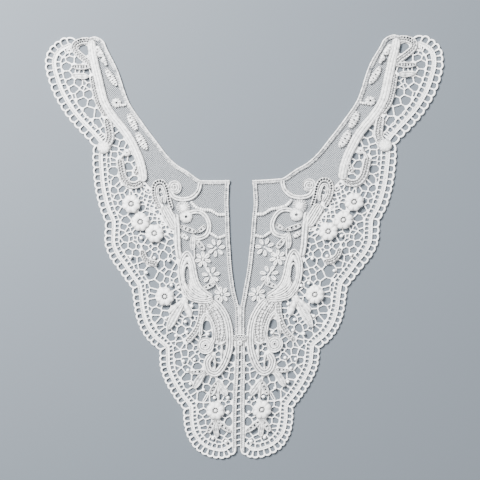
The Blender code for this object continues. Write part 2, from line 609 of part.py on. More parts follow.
def rosette(name, centre, side, material):
    """A domed rose: eight scallops, a raised shoulder and a sunk middle."""
    spokes = ROSETTE_SPOKES
    angle = np.arange(spokes) * 2 * math.pi / spokes
    rim = 1 - ROSETTE_NOTCH * np.abs(np.sin(ROSETTE_LOBES * angle / 2))
    low = GROUND_LIFT
    unit = np.column_stack([np.cos(angle), np.sin(angle)])
    rings = [np.column_stack([unit * (ROSETTE_RADIUS * rim)[:, None], np.full(spokes, low)])]
    for share, height in ROSETTE_PROFILE:
        reach = ROSETTE_RADIUS * share * (rim if share > LOBED_FROM else np.ones(spokes))
        level = np.full(spokes, low + ROSETTE_HEIGHT * height)
        rings.append(np.column_stack([unit * reach[:, None], level]))
    points = np.vstack(rings)
    points[:, :2] += lay(np.array([centre]), side)[0]
    faces = [tuple(range(spokes))[::-1]]
    for ring in range(len(ROSETTE_PROFILE)):
        for spoke in range(spokes):
            following = (spoke + 1) % spokes
            a, b = ring * spokes + spoke, ring * spokes + following
            faces.append((a, b, b + spokes, a + spokes))
    faces.append(tuple(len(ROSETTE_PROFILE) * spokes + spoke for spoke in range(spokes)))
    return solid(name, points, faces, material)


def thread(name, colour, roughness):
    """White embroidery thread: one finish for each kind of work."""
    material = bpy.data.materials.new(name)
    material.use_nodes = True
    surface = material.node_tree.nodes["Principled BSDF"]
    surface.inputs["Base Color"].default_value = (*colour, 1)
    surface.inputs["Roughness"].default_value = roughness
    surface.inputs["Metallic"].default_value = 0
    return material


# The pieces

def daisy_shapes(grow=0.0):
    """Petals round each eye, and the stalk that joins the daisies."""
    shapes = []
    for daisy in DAISIES:
        centre = on_chart((daisy.col, daisy.row))[0]
        eye = 2 * (DAISY_EYE + grow)
        shapes.append(oval(centre, eye, eye, 0, EYE_CORNERS))
        for petal in range(DAISY_PETALS):
            angle = math.radians(daisy.turn) + petal * 2 * math.pi / DAISY_PETALS
            ahead = np.array([math.cos(angle), math.sin(angle)])
            tip = centre + ahead * (daisy.reach * CELL + grow)
            side = np.array([-ahead[1], ahead[0]]) * (PETAL_WIDE / 2 + grow)
            waist = centre + ahead * daisy.reach * CELL * PETAL_WAIST
            shapes.append(np.array([centre, waist - side, tip - side * PETAL_TIP,
                                    tip + side * PETAL_TIP, waist + side]))
    stalk = curve([(daisy.col, daisy.row) for daisy in DAISIES])
    shapes.append(band(stalk, STALK_WIDE / 2 + grow, STALK_WIDE / 2 + grow))
    return shapes


def front_rungs():
    """Slanting bars from inside the left front braid to a seam's width from the right one."""
    bars = []
    for row in FRONT_RUNG_ROWS:
        left = np.interp(row, [knot[1] for knot in FRONT_BRAID], [knot[0] for knot in FRONT_BRAID])
        near, far = on_chart(((left, row), (left, row - FRONT_RUNG_RISE)))
        near[0] -= FRONT_BRAID_WIDE / 4
        # a bar is drawn in the left half's frame, so its far end lies across the centre front;
        # the corner of its slanting end stands a quarter of its width further out
        short = FRONT_BRAID_WIDE / 2 + SEAM + FRONT_RUNG_WIDE / 4
        far[0] = -lay(far[None], SIDES["right"])[0, 0] + short
        bars.append(band(np.array([near, far]), FRONT_RUNG_WIDE / 2, FRONT_RUNG_WIDE / 2))
    return bars


def build_half(side_name, side, finishes):
    """All pieces of one half, from the bottom layer up."""
    neck = curve(NECK_EDGE)
    front = curve(FRONT_BRAID)
    net_seam = curve(NET_SEAM)
    half_front = FRONT_BRAID_WIDE / 2

    def neck_band(grow):
        return band(neck, grow, NECK_BRAID_WIDE + grow)

    def front_band(grow):
        return band(front, half_front + grow, half_front + grow)

    def put(piece, rings, base, thick, finish):
        wall(f"{piece}_{side_name}", rings, base, thick, finishes[finish])

    put("neck_braid", region([neck_band(0)], [], side), 0, BRAID_THICK, "braid")
    rungs = front_rungs() if side < 0 else []
    put("front_braid", region([front_band(0)] + rungs, [neck_band(SEAM)], side), 0,
        BRAID_THICK, "braid")

    edge = np.vstack([path for _, path in scallop_paths()])
    centre_line = front[::-1]
    below_tie = centre_line[centre_line[:, 1] < net_seam[-1, 1]]
    ground = np.vstack([edge, below_tie, net_seam[::-1]])
    gaps = edge_gaps()
    gaps += bar_gaps(GAPS_CUT // 2 - len(gaps))
    put("lace_ground", region([ground], gaps + [front_band(SEAM), neck_band(SEAM)], side), 0,
        GROUND_THICK, "ground")

    above_tie = centre_line[centre_line[:, 1] >= net_seam[-1, 1]]
    net = np.vstack([neck, above_tie[::-1], net_seam[::-1]])
    seam_band = band(net_seam, SEAM, SEAM)
    put("net_yoke", region([net], [neck_band(SEAM), front_band(SEAM), seam_band], side), 0,
        NET_THICK, "net")

    taken = [neck_band(SEAM), front_band(SEAM)]
    room = 2 * (ROSETTE_RADIUS + SEAM) * ROOM
    for row in ROSETTES:
        centre = on_chart((row.col, row.row))[0]
        rosette(f"{row.name}_{side_name}", centre, side, finishes["rosette"])
        taken.append(oval(centre, room, room, 0, ROSETTE_SPOKES))
    for motif in MOTIFS:
        shapes = [outline(shape) for shape in motif.shapes]
        put(motif.name, region(shapes, taken, side), motif.lift, MOTIF_THICK, "satin")
        taken += [outline(shape, SEAM) for shape in motif.shapes]
    put("daisy_spray", region(daisy_shapes(), taken, side), NET_LIFT, MOTIF_THICK, "satin")


def settle():
    """Move the whole collar so that its box is centred on the origin and stands on Z = 0."""
    pieces = [piece for piece in bpy.data.objects if piece.type == "MESH"]
    corners = np.vstack([np.array([vertex.co for vertex in piece.data.vertices]) for piece in pieces])
    low, high = corners.min(axis=0), corners.max(axis=0)
    shift = Vector((-(low[0] + high[0]) / 2, -(low[1] + high[1]) / 2, -low[2]))
    for piece in pieces:
        for vertex in piece.data.vertices:
            vertex.co += shift


def main():
    for old in list(bpy.data.objects):
        bpy.data.objects.remove(old, do_unlink=True)
    finishes = {
        "ground": thread("white_bar_thread", (0.86, 0.86, 0.85), 0.75),
        "net": thread("white_net_thread", (0.70, 0.71, 0.72), 0.85),
        "braid": thread("white_braid_cord", (0.84, 0.84, 0.84), 0.65),
        "satin": thread("white_satin_thread", (0.88, 0.88, 0.88), 0.5),
        "rosette": thread("white_padded_satin", (0.92, 0.92, 0.91), 0.45),
        "tie": thread("white_tie_thread", (0.86, 0.86, 0.86), 0.6)}
    for side_name, side in SIDES.items():
        build_half(side_name, side, finishes)
    tie_x, tie_y = on_chart(TIE_AT)[0]
    run = (TIE_SIZE[0] - TIE_SIZE[1]) / 2
    middle = np.array([(tie_x - run, tie_y), (tie_x + run, tie_y)])
    bar = band(middle, TIE_SIZE[1] / 2, TIE_SIZE[1] / 2, round_ends=True)
    wall("front_tie", [lay(bar, -1)], BRAID_THICK + SEAM, TIE_THICK, finishes["tie"])
    settle()


main()
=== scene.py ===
"""White guipure lace collar laid flat on a pale table: the thread work over its cut shape.

The collar is charted as an embroiderer charts it: columns run to the right and rows run down, one
stitch cell apart, and the left half is drawn. The right half mirrors it and lies a little apart.
Flat shapes are in millimetres from the centre front (x, positive towards the side) and from row
zero (y, up); heights are in millimetres above the table.
"""

import math
from collections import namedtuple

import bpy
import numpy as np
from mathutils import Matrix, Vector
from mathutils.geometry import delaunay_2d_cdt


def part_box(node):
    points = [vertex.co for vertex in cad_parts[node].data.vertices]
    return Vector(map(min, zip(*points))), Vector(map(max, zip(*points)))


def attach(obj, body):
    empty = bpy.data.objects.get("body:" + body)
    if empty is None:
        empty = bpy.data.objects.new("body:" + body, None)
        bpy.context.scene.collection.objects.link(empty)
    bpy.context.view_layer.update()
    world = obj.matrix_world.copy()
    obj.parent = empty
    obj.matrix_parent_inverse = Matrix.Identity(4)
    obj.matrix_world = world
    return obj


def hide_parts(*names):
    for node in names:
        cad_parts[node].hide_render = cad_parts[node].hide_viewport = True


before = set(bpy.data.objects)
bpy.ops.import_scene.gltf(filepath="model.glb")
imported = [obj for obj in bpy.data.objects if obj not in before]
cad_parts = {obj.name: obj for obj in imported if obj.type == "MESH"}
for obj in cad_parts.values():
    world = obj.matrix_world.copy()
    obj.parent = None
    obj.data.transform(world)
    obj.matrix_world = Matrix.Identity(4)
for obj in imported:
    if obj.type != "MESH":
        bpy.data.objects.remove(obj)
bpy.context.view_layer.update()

# Lines and meshes, in millimetres
CELL = 0.9                 # one stitch cell of the chart
LINE_STEP = 0.5            # distance between the points of a drawn line
CURVE_POINTS = 16          # points of a curve from knot to knot, before it is read evenly
CORD_SIDES = 6
SPOKES, FINE_SPOKES = 48, 72           # points round a disc
SHARP_ANGLE = 55.0         # degrees; an edge over it stays sharp
TINY = 1e-9                # least length that anything is divided by
MERGE = 1e-5               # corners of the backing that are closer become one
CLEAR = 0.05               # how far bars and braids stay above the table

# The bars of the ground and its backing
CORD = 0.42                # radius of a bar
BAR_WIDE = 0.76            # bar between two gaps, which the cords round both of them share
LOOSE = 0.16               # how much higher than others a bar may lie
GOLDEN = 0.618             # share of LOOSE from one cord to the next, so that no two lie alike
PLATE = (0.15, 0.95)       # bottom and top of the felted backing
PLATE_EASE = 0.42          # how far the backing stays back from a gap's edge
PICOT = (1.5, 1.6)         # radius and height of a picot's ball
PICOT_STEM = (0.5, 0.8)    # radius and height of its stem
PICOT_LAP = 0.1            # share of the stem's length that laps into the bar

# The scalloped edge
EDGE_CORD = (0.5, 0.8)     # radius of the outer ladder's bars and of its outer cord
INNER_CORD = 0.54          # radius of the inner ladder's bars
LADDER_POINTS = 28         # corners of an outer cell
SQUARE = 6                 # power that squares a cell off
KNOT = (0.13, 0.22)        # share of a cell that the knot on its bar takes, and the knot's length
LEAST_INNER_CELLS = 3      # in a scallop
CORNER_REACH = 6.0         # how far from a corner between scallops the bars still fan out
CORNER_EASE = 0.7          # power by which the fan opens
BAND_BLEND = 21            # points over which the band's place blends from scallop to scallop
BAND_BASE, BAND_TOP = 0.1, 1.35
BAND_LAP = 0.1             # how far the band laps over the ladders
BAND_ROWS = 9              # points across it

# The gaps of the ground
RING_POINTS = 20           # corners of a finished gap
OVAL_POINTS = 16           # corners of a gap before it is trimmed
FULLNESS = 2.1             # how much a gap swells before its neighbours trim it
TRELLIS_FULLNESS = 1.15    # the same for the trellis, whose gaps are small and far apart
SIGHT = 2.2                # how far off a neighbour's rim may lie, in radii of the swollen gap
LEAST_REACH = 0.5          # share of its radius that a gap keeps on every side
TUCK = 0.5                 # how far a gap may reach under a satin shape
LEAST_BODY = 0.2           # least radius of a spot that stands for part of a satin shape
SEAM_ROOM = 1.6            # radius of a spot that stands for part of a seam or braid
SEAM_SPOTS, SHAPE_SPOTS = 2.5, 2.0     # from one such spot to the next
FILL_GRID = 0.6            # filler gaps: the grid they are sought on, least and greatest radius
FILL_LEAST, FILL_MOST = 1.05, 2.6
BAND_KEPT = 2.6            # how far they stay off the ground's outer line

# The net and the braids
NET_PITCH, NET_THREAD = 1.35, 0.33
NET_HEIGHTS = (0.25, 0.42) # middle of the lower and the upper threads
NET_HEM = 1.0              # how far the net reaches under the neck braid
SHORTEST_THREAD = 0.5
NECK_BRAID, NECK_TOP = 4.1, 2.1
NECK_FIT = 0.95            # share of its width that the neck braid fills
FRONT_BRAID_WIDE, FRONT_TOP = 3.7, 2.0
BRAID_ROWS = 13            # points across a braid
RUNG_CORD, RUNG_HEIGHT = 0.55, 0.9     # bars across the closed front: radius and middle
RUNG_POINTS = 8

# Satin work
GROUND_BASE, NET_BASE = 0.85, 0.3      # its underside on the ground and on the net
GROUND_TOP, NET_TOP = 2.7, 2.3         # its crests
SHAPE_STEP = 0.12          # how much lower than the first the second shape of a motif lies
TAPE_STEP, LEAF_STEP = 0.45, 0.4       # between the stations of a tape and of a leaf
CORD_ROWS = 5              # points across each cord of a tape
LEAF_ROWS = 17             # points across a leaf
LEAF_ROUND = 0.42          # power that rounds a leaf's ends
LEAF_LEAN = 1.5            # power that moves a leaf's widest place past its middle
LEAF_BEND = 0.03           # how far its spine bends aside, as a share of its length
LEAF_TIP = 0.12            # least half width
SATIN_FLOATS, CORD_TWIST = 0.9, 1.1    # pitches along the thread
LEAF_RIBS, EDGE_RIBS, NECK_RIBS = 1.5, 1.9, 1.8
FRONT_RIBS = (1.5, 1.9)    # on the front braid's cords and in its groove
TUFT = 2.1                 # of a fuzzy edge
TUFT_HOLES = (3.9, 1.2)    # the pinholes between tufts: pitch, and how far the row is shifted
DOTS, RUNGS, EYELETS = 2.4, 2.7, 3.6   # rows of pits
PIT_REACH = 0.85           # half the length of a pit between cords
LEAF_HOLES = {"pitted": (0.26, 0.34), "slotted": (0.2, 0.62)}  # half long by pitch, half wide
STAR_LOBES = 0.1           # share of the radius
LEAST_RELIEF = 0.05        # share of the height left at the bottom of a pit
PINHOLE_FLOOR = 0.1        # share of the height left at the bottom of a disc's pinhole
SKIRT_RELIEF = 0.3         # what an underside counts as, for its tone; its walls take it as painted shade
ROSETTE = (8.3, 0.9, 3.7)  # radius, bottom and top
ROSETTE_RINGS = 22

# Daisies: cords as radius and height
DAISY_PETALS = 7
PETAL_LONG, PETAL_WIDE = 4.5, 2.4      # to the middle of the petal's cord
PETAL_HOLD = 0.6           # how far a petal's cord keeps inside the daisy's reach
PETAL_POINTS = 12
PETAL_CORD, FILLING_CORD = (0.55, 1.3), (0.5, 0.6)
FILLING_SHARE, FILLING_CRUSH = 0.5, 0.7
DAISY_EYE, DAISY_STALK = (0.8, 1.0), (0.6, 0.8)

# Places on the chart, in cells, and the sizes there, in millimetres
CENTRE_COL = 240.3
FRONT_BAND = ((240, 305.5), (240, 336))
FRONT_BAND_WIDE, FRONT_BAND_HEIGHTS = 3.0, (0.3, 2.2)
FRONT_BAND_STEP, FRONT_BAND_ROWS = 0.4, 11
TIE_AT = (240.3, 337.2)
TIE_SIZE, TIE_HEIGHTS = (12.4, 6.6), (1.9, 3.4)
TIE_STEP, TIE_ROWS = 0.3, 25
TIE_KNOT_AT = (0.4, -4.9)  # from the middle of the tie
TIE_KNOT = (2.6, 3.1, 0.3) # radius, top and the pinhole's share of the radius
SIDES = {"left": -1, "right": 1}

# Thread: patterns of the tone
DRIFT = 0.3                # how far the tone drifts in all
DRIFT_SCALE = 45.0         # per metre: patches about 22 mm wide
BUNDLE_SCALE = (0.5, 0.42, 1.0)        # per millimetre: bundles of stitches about 2 mm wide
DARK_BELOW = (0.06, 0.26)  # relief at which a pit is dark, and at which it is pale again
PINHOLE = "#23272B"        # shade at the bottom of a pit
STRAND_DEPTH = 0.0002      # metres
SHEEN_ROUGHNESS = 0.4
RAYON_IOR = 1.53

# Table, light and camera: metres and watts; a light is its place, size and power
FLOOR_SIZE, FLOOR_COLOUR = 6, "#545B62"
PICTURE, PICTURE_MIDDLE = 480, (240, 240)      # width and middle of the picture, in cells
LENS, SENSOR = 85.0, 36.0                      # millimetres
KEY_LIGHT = ((-0.9, 0.9, 0.95), 0.5, 165)
FILL_LIGHT = ((0.8, -0.3, 1.4), 1.2, 16)
SKY, SKY_STRENGTH = (0.9, 0.93, 1.0, 1), 0.42


def table(columns, *rows):
    """Rows with named columns."""
    row_type = namedtuple("Row", columns)
    return [row_type(*row) for row in rows]


# How the right half lies: each row of the chart is spread by a share of its reach from the centre,
# and its front is drawn towards the centre by so many cells
RIGHT_LAY = table(
    "row spread draw",
    (35, 0.055, 0), (61, 0.04, 0), (147, 0.06, 0), (205, 0.045, -1.5), (226, 0.03, 0),
    (289, -0.01, 2.6), (310, -0.012, 0.8), (350, -0.015, 0.4), (376, -0.039, 1.5),
    (390, -0.052, 3.0), (410, -0.07, 4.0), (460, -0.06, 4.2))
DRAW_FADES = 40.0          # reach in cells at which the draw has faded out
RIGHT_LIFT = 2.0           # cells that the right half lies higher, away from the centre
LIFT_STARTS, LIFT_WHOLE = 12.0, 40.0   # reach in cells at which it starts and is whole

# The scalloped edge, scallop by scallop from the shoulder tip to the centre front: how many cells
# its ladder has, how much wider the first is, and in millimetres how far they bulge out, inward from
# the edge where the open cells of the outer and the inner ladder start and end, and how far apart the
# inner ones are
SCALLOPS = table(
    "name gaps first bulge ladder inner pitch knots",
    ("shoulder", 19, 1.6, 1.1, (1.8, 7.0), (10.3, 14.0), 5.05,
     ((77, 38.2), (69.5, 35.4), (61.5, 38.4), (54, 43), (48, 50), (44.7, 60), (45.5, 71), (48, 80),
      (53, 94), (60, 107), (67, 117.5), (76, 128), (84, 136.5), (93.5, 146.5))),
    ("underarm", 11, 1, 1.0, (1.7, 6.2), (9.4, 12.5), 4.4,
     ((93.5, 147), (92.2, 156), (92.7, 166), (94.3, 185), (97.5, 201), (101, 213), (105, 222))),
    ("side", 11, 1, 1.1, (1.9, 6.8), (9.8, 13.1), 4.1,
     ((105, 222), (104.2, 235), (104.6, 246), (110, 259), (117.8, 269.7), (125.4, 281),
      (132, 289))),
    ("front", 11, 1, 1.1, (1.4, 5.7), (8.9, 11.8), 3.85,
     ((132, 289), (133.2, 298), (135, 312), (138.8, 325), (144, 335), (151, 343.5), (160, 350))),
    ("skirt", 11, 1, 1.2, (1.4, 6.1), (9.1, 12.3), 3.75,
     ((160, 350), (159.5, 358), (160.5, 369), (166, 383.5), (175.7, 399.7), (184, 409.5))),
    ("hem", 6, 1, 1.1, (0.8, 5.3), (8.2, 11.3), 3.6,
     ((184, 410), (184.2, 420), (186.3, 432), (188.8, 438), (191.8, 443.3))),
    ("hem_tip", 8, 1, 1.1, (0.8, 6.4), (8.6, 12.1), 3.9,
     ((191.8, 443.3), (195.4, 448), (204, 454), (216, 457.6), (227, 457.2), (236, 451.5))))

# Long edges and seams
NECK_EDGE = ((90, 37.6), (95, 36.6), (100, 38.2), (104.5, 42), (107.5, 49), (118, 70), (125.4, 92),
    (130.8, 104.8), (140.4, 119), (149.5, 131.6), (158.4, 143.2), (167.5, 155.2), (177, 164.5),
    (188, 171.3), (199, 179.3), (205, 180.2), (229.6, 180.2))
FRONT_BRAID = ((227.3, 180), (226.4, 200), (227, 216), (227.6, 236), (228.6, 251), (229.6, 266),
    (231.4, 281), (233, 291), (235.4, 301), (237.2, 309), (237.6, 322), (237.6, 338), (237.2, 352),
    (236.2, 376), (235, 396), (234.3, 420), (234.4, 451))
NET_SEAM = ((90, 37.4), (91.9, 43), (92.7, 52), (95, 64), (98.5, 77), (101.5, 90), (104.5, 101),
    (109, 111), (115.5, 120), (122.5, 128.5), (129, 137.5), (134.5, 148), (139.5, 160),
    (142.5, 171), (144, 180), (151, 188), (160, 193), (163, 205), (169, 217), (175.5, 229),
    (178, 243), (180.5, 260), (182, 275), (187, 289), (196, 297), (208, 299.5), (219, 308),
    (225, 317), (228.5, 327), (230.5, 338), (237.6, 339))
FRONT_RUNG_ROWS = (353, 361, 367.5, 373.5, 379.5, 386.5, 392, 398, 404.5, 410.5, 416.5, 422.5, 429,
    434.5, 440.5, 446)
FRONT_RUNG_RISE = 1.8      # cells that a bar climbs towards the right

# Gaps of the bar ground, as ovals: size across and down in cells, tilt in degrees clockwise
SHOULDER_GAPS = table(
    "col row wide tall tilt",
    (66.8, 66.5, 9, 8, 0), (67.5, 75.3, 8.5, 7, 0), (70.3, 82.3, 6, 8, 20),
    (78.8, 83.2, 7.5, 7, 35), (74.3, 89.3, 6.5, 9.5, 0), (79.6, 94.8, 5.2, 11.5, 20),
    (88, 94.3, 10, 6, 42), (82.7, 102, 7, 12, 12), (91.8, 104, 11, 4.6, 48),
    (89.2, 112.6, 7.6, 16, -20), (97.7, 113.6, 4.8, 8.5, -28), (97.8, 123.8, 6.4, 12.5, -14),
    (119.8, 135.3, 5.8, 8, -35), (70, 59.6, 10, 4.6, 14), (79.3, 60.4, 12, 4.6, 34),
    (87.3, 72.4, 4.6, 6.4, -10), (83.9, 51, 7.4, 13.5, -38))
SIDE_GAPS = table(
    "col row wide tall tilt",
    (113, 171, 7.6, 9, 0), (115, 181.5, 4.8, 11.5, 28), (122.2, 189.6, 5.8, 5.6, 35),
    (114.6, 155.2, 9.5, 4.5, 42), (129, 166.6, 5.8, 9, -35), (134, 179.6, 8.6, 4.5, 0),
    (147.8, 191.3, 4.8, 4.8, 45), (142.6, 207.4, 5.8, 4.4, -35), (146.6, 213.4, 5.4, 4.6, 20),
    (155, 223.4, 4.6, 4.6, 0), (123.2, 211.8, 6, 10.5, -32), (126, 220.4, 10, 6, 10),
    (124, 226.8, 7, 6.4, 0), (136.6, 232.4, 7.8, 4.8, 0), (125.6, 238.3, 7, 7, 45),
    (132.5, 245.6, 7.6, 5.6, 0), (141.7, 238.5, 7.8, 9, 0), (147.6, 242.3, 5.4, 5.4, 0),
    (145.5, 248.4, 6.6, 6.4, 0), (149.2, 253.6, 5, 8, 25), (155, 256, 8.4, 6.2, 0),
    (161.5, 246.4, 7.6, 4.6, -25), (168.2, 249.8, 9, 5.2, 38), (164, 254.9, 9.4, 7, 10),
    (175.3, 252.6, 4.5, 7, 15), (160.3, 265, 5.2, 11.5, 0), (169.7, 264, 10, 10.5, 0),
    (133.8, 260.4, 4.6, 9.4, -12), (141.9, 265.8, 4.8, 9, 28), (151.2, 273.4, 12, 13.5, 0))
FRONT_GAPS = table(
    "col row wide tall tilt",
    (159.4, 277.6, 8, 11.5, 0), (168.4, 273.2, 5.8, 5.4, 0), (173.9, 275.8, 8.4, 4.6, -22),
    (166.8, 280.6, 5.4, 7, -5), (177.1, 280.4, 5.6, 6.4, 20), (171.6, 286.4, 8, 8, 0),
    (180.4, 286.9, 7, 7.6, 0), (154.4, 284.4, 14.5, 6.4, 18), (152.8, 290.6, 9, 4.5, 32),
    (153, 303, 8.6, 7.8, 12), (156, 311.4, 10.4, 6.6, -5), (155.8, 318, 9.6, 4.6, -25),
    (160.4, 322.1, 11, 4.6, -28), (180, 301.9, 5.2, 5, -35), (187, 322, 6.8, 12, -8),
    (194, 324, 4.6, 8, 10), (181, 330, 6, 11.5, 5), (171.6, 336.8, 11, 8, -28),
    (189, 331.2, 8, 5, -28), (163.6, 331.3, 9.6, 4.4, -42), (180, 343.9, 11.5, 4.6, -18),
    (190.1, 346.7, 6.2, 6.8, 0), (178, 355, 5, 9, 4), (184.9, 353, 6.6, 6, -10),
    (179, 363, 6.6, 5.6, -5), (191.7, 353.9, 8.8, 4.5, -42), (195.6, 358.4, 7.4, 9.5, 0),
    (202.9, 355, 9.2, 6.8, 0), (185.2, 360.7, 4.8, 6.4, 0), (197.3, 366, 13.5, 4.8, -22))
SKIRT_GAPS = table(
    "col row wide tall tilt",
    (181, 372.8, 5.4, 8.6, 8), (186.7, 377.2, 11, 6.8, -10), (187.8, 385, 8, 7, 20),
    (191.8, 391.6, 5.2, 8, 22), (199, 386, 4.4, 11, 28), (207, 379.5, 4.8, 10.5, 22),
    (212, 381.6, 5, 9, 18), (207, 387.9, 5.6, 6.4, 0), (202.3, 396.6, 7.6, 15, 26),
    (194.6, 396, 4.5, 9, 30), (206.4, 398.9, 4.4, 9, 35), (200.4, 406, 5, 6.2, 15),
    (206.9, 405.6, 5.4, 5, 0), (203, 411.9, 6.2, 6.6, 0), (202.8, 422.4, 5, 7.4, 10),
    (206.9, 435.2, 6.2, 4.6, -12), (213.4, 398.4, 6.6, 8, 0), (222.9, 431.6, 5.8, 9, -15),
    (228.6, 421.8, 7, 8, -30), (229, 408.7, 7.8, 8.8, 0), (230, 396, 6, 8, 0),
    (206.9, 326, 8.2, 10.5, 0), (210.4, 334.6, 4.6, 6.6, 0), (225.8, 374.6, 4.5, 8, 0),
    (226, 383, 4.6, 5.2, 0), (232, 358, 4.5, 11, 6), (231.9, 376.4, 5.4, 7, -15),
    (231.3, 387, 5.6, 8.6, -5), (196, 313.3, 5.4, 4.6, 0), (195.4, 306.2, 4.8, 8.6, -10))

# Rosettes: where their pearl sits
ROSETTES = table(
    "name col row",
    ("rosette_upper", 131.5, 204), ("rosette_middle", 140.6, 222), ("rosette_lower", 154.6, 233.4),
    ("rosette_front", 165, 296.5), ("rosette_hem", 215.5, 410.3))

# Daisies in the net, on one stalk: petal reach in cells and first petal's angle in degrees
DAISIES = table(
    "col row reach turn",
    (216, 248, 9.2, 18), (203, 259.5, 8.2, 40), (211, 275.5, 9.2, 10), (222, 294.5, 8.2, 25))

# Small gaps between the motifs, which stay closed in the solid
SMALL_GAPS = table(
    "col row wide tall tilt",
    (103.3, 121, 2.2, 8, -10), (103.4, 131, 3.5, 6, -8), (102.6, 137, 3, 4.5, 0),
    (92.6, 70.5, 4, 5.3, 0), (118.3, 185, 2.5, 8, -5), (127, 193, 3.5, 5.5, 0),
    (113, 160, 9, 2.6, 45), (113, 164.5, 6, 3, 30), (114.5, 149, 7, 3, 15),
    (129.5, 174, 2.8, 6.8, 0), (120.5, 154, 2, 7, 0), (118, 208.5, 2.5, 9, 5),
    (131.8, 215.5, 3.8, 4.5, 0), (143.5, 231.5, 4, 2.5, 0), (128.5, 229.8, 2.8, 4, 0),
    (130, 234.5, 3.6, 2, 0), (131.4, 238.5, 2.8, 3.6, 0), (135.7, 238, 2.4, 2.6, 0),
    (135.3, 242, 3.4, 2, 25), (138.7, 246.8, 2, 4, -25), (155, 244, 7, 3.2, 0),
    (159, 252.5, 4, 2, 0), (175.2, 267.3, 3.4, 7.5, 12), (151.7, 295.6, 7, 3.4, 15),
    (160.8, 327.3, 8.5, 3.6, -22), (176.2, 292.8, 5.5, 3.8, 5), (188.6, 302, 3.8, 4, 0),
    (166, 307, 9, 3.4, 0), (174.5, 302.5, 2.5, 6, 35), (179, 339.5, 11, 2.6, -22),
    (184, 346.5, 2.6, 7, 35), (195, 377.8, 4.6, 4, -50), (206.3, 416, 5, 3.6, -35),
    (208, 422, 3, 7, 30), (204.2, 427.8, 4.6, 3.8, 0), (204, 432, 3.8, 3, -30),
    (212.5, 433, 2.6, 5, 10), (212.3, 440, 6.5, 3.8, 20), (218.7, 442.3, 6, 3, 0),
    (225.8, 441.5, 5, 3.6, 0), (230.4, 440.2, 2.9, 4.6, 0), (221, 397, 2.6, 7, 0),
    (223.7, 403.8, 3.2, 4.6, 30), (224.5, 415.5, 5, 2.6, 0), (211.3, 364.6, 4.4, 6.6, -15),
    (217.6, 365.6, 3.4, 5.6, 10), (211.8, 357.6, 1.8, 5, 0), (232, 369.2, 4.8, 3, -20),
    (233.2, 349, 2.6, 4, 0), (203.3, 337.5, 4, 3.5, 0), (202.3, 333.5, 4, 3, 0),
    (192.8, 318, 3, 3, 0), (197, 318.3, 2, 3, 0), (160.9, 194.8, 2.3, 8.4, -8),
    (84.8, 83.5, 2.4, 4, 0), (85.8, 88.9, 2.2, 3, 20), (97.6, 89.2, 1.8, 7.4, -8),
    (81.3, 72, 3.6, 1.8, 20), (71.6, 55, 3, 2.4, 0), (218.8, 347.6, 2, 4.6, 5),
    (225, 347.4, 2, 7.6, 12), (218.2, 354.2, 4, 4, -20))

# The trellis of short bars beside the upper rosettes
TRELLIS_GAPS = table(
    "col row wide tall tilt",
    (145, 185.5, 2.5, 3.5, 0), (142.5, 194, 2.5, 3.5, 0), (150.3, 197.5, 3, 3.5, 0),
    (136.5, 195.5, 4.5, 2.5, 35), (131.5, 193.5, 1.8, 4.5, 0), (145, 200, 2.6, 2.6, 0),
    (153.2, 203.3, 2, 3, 0), (148.3, 205.2, 2.6, 3.2, 0), (152, 210.5, 2, 3, 0),
    (150.6, 218.5, 3.5, 3.5, 0), (155.3, 215, 2, 2.4, 0), (159, 219, 2, 2, 0), (163, 223, 2, 2, 0),
    (167.5, 227.5, 3, 2, 45), (165, 231.5, 3.5, 2.5, 40), (171.7, 231.5, 2, 2, 0),
    (168, 237.5, 8, 2, 30), (148.2, 190.7, 2.4, 2.8, 30), (151.5, 209.8, 2.4, 2.8, 30),
    (156.5, 208.1, 2.4, 2.6, 30), (161, 213.9, 2, 2.4, 30), (165.2, 219.5, 2, 2.4, 30),
    (162.7, 224.3, 2, 2.2, 30), (158.8, 227.6, 2, 2.2, 30), (169.8, 224.3, 1.8, 2.2, 30),
    (153.8, 190.6, 1.8, 2.2, 30), (156.6, 197.4, 1.6, 2.2, 30))

# Picots: little balls that hang in the gaps
PICOTS = ((141.5, 238), (131, 257), (154.5, 258), (169, 260.5), (146.5, 272.5), (171.5, 285),
    (179, 287.5), (166, 318), (185.5, 321.5), (192, 306), (176, 335.5), (187, 332), (194.5, 359.5),
    (183.5, 361), (188, 370), (190.5, 383.5), (203.5, 389.5), (208, 334), (214.5, 397.5),
    (228, 397.5), (228, 412), (213, 438), (226, 441))

# Satin work. A tape is a path, a leaf lies between two tips, a disc is round. Widths and radii are
# in cells, and a finish names the relief of the stitches with its count of cords or rows of pits.
Tape = namedtuple("Tape", "wide knots finish count")
Leaf = namedtuple("Leaf", "wide start end finish count")
Disc = namedtuple("Disc", "radius centre finish count")

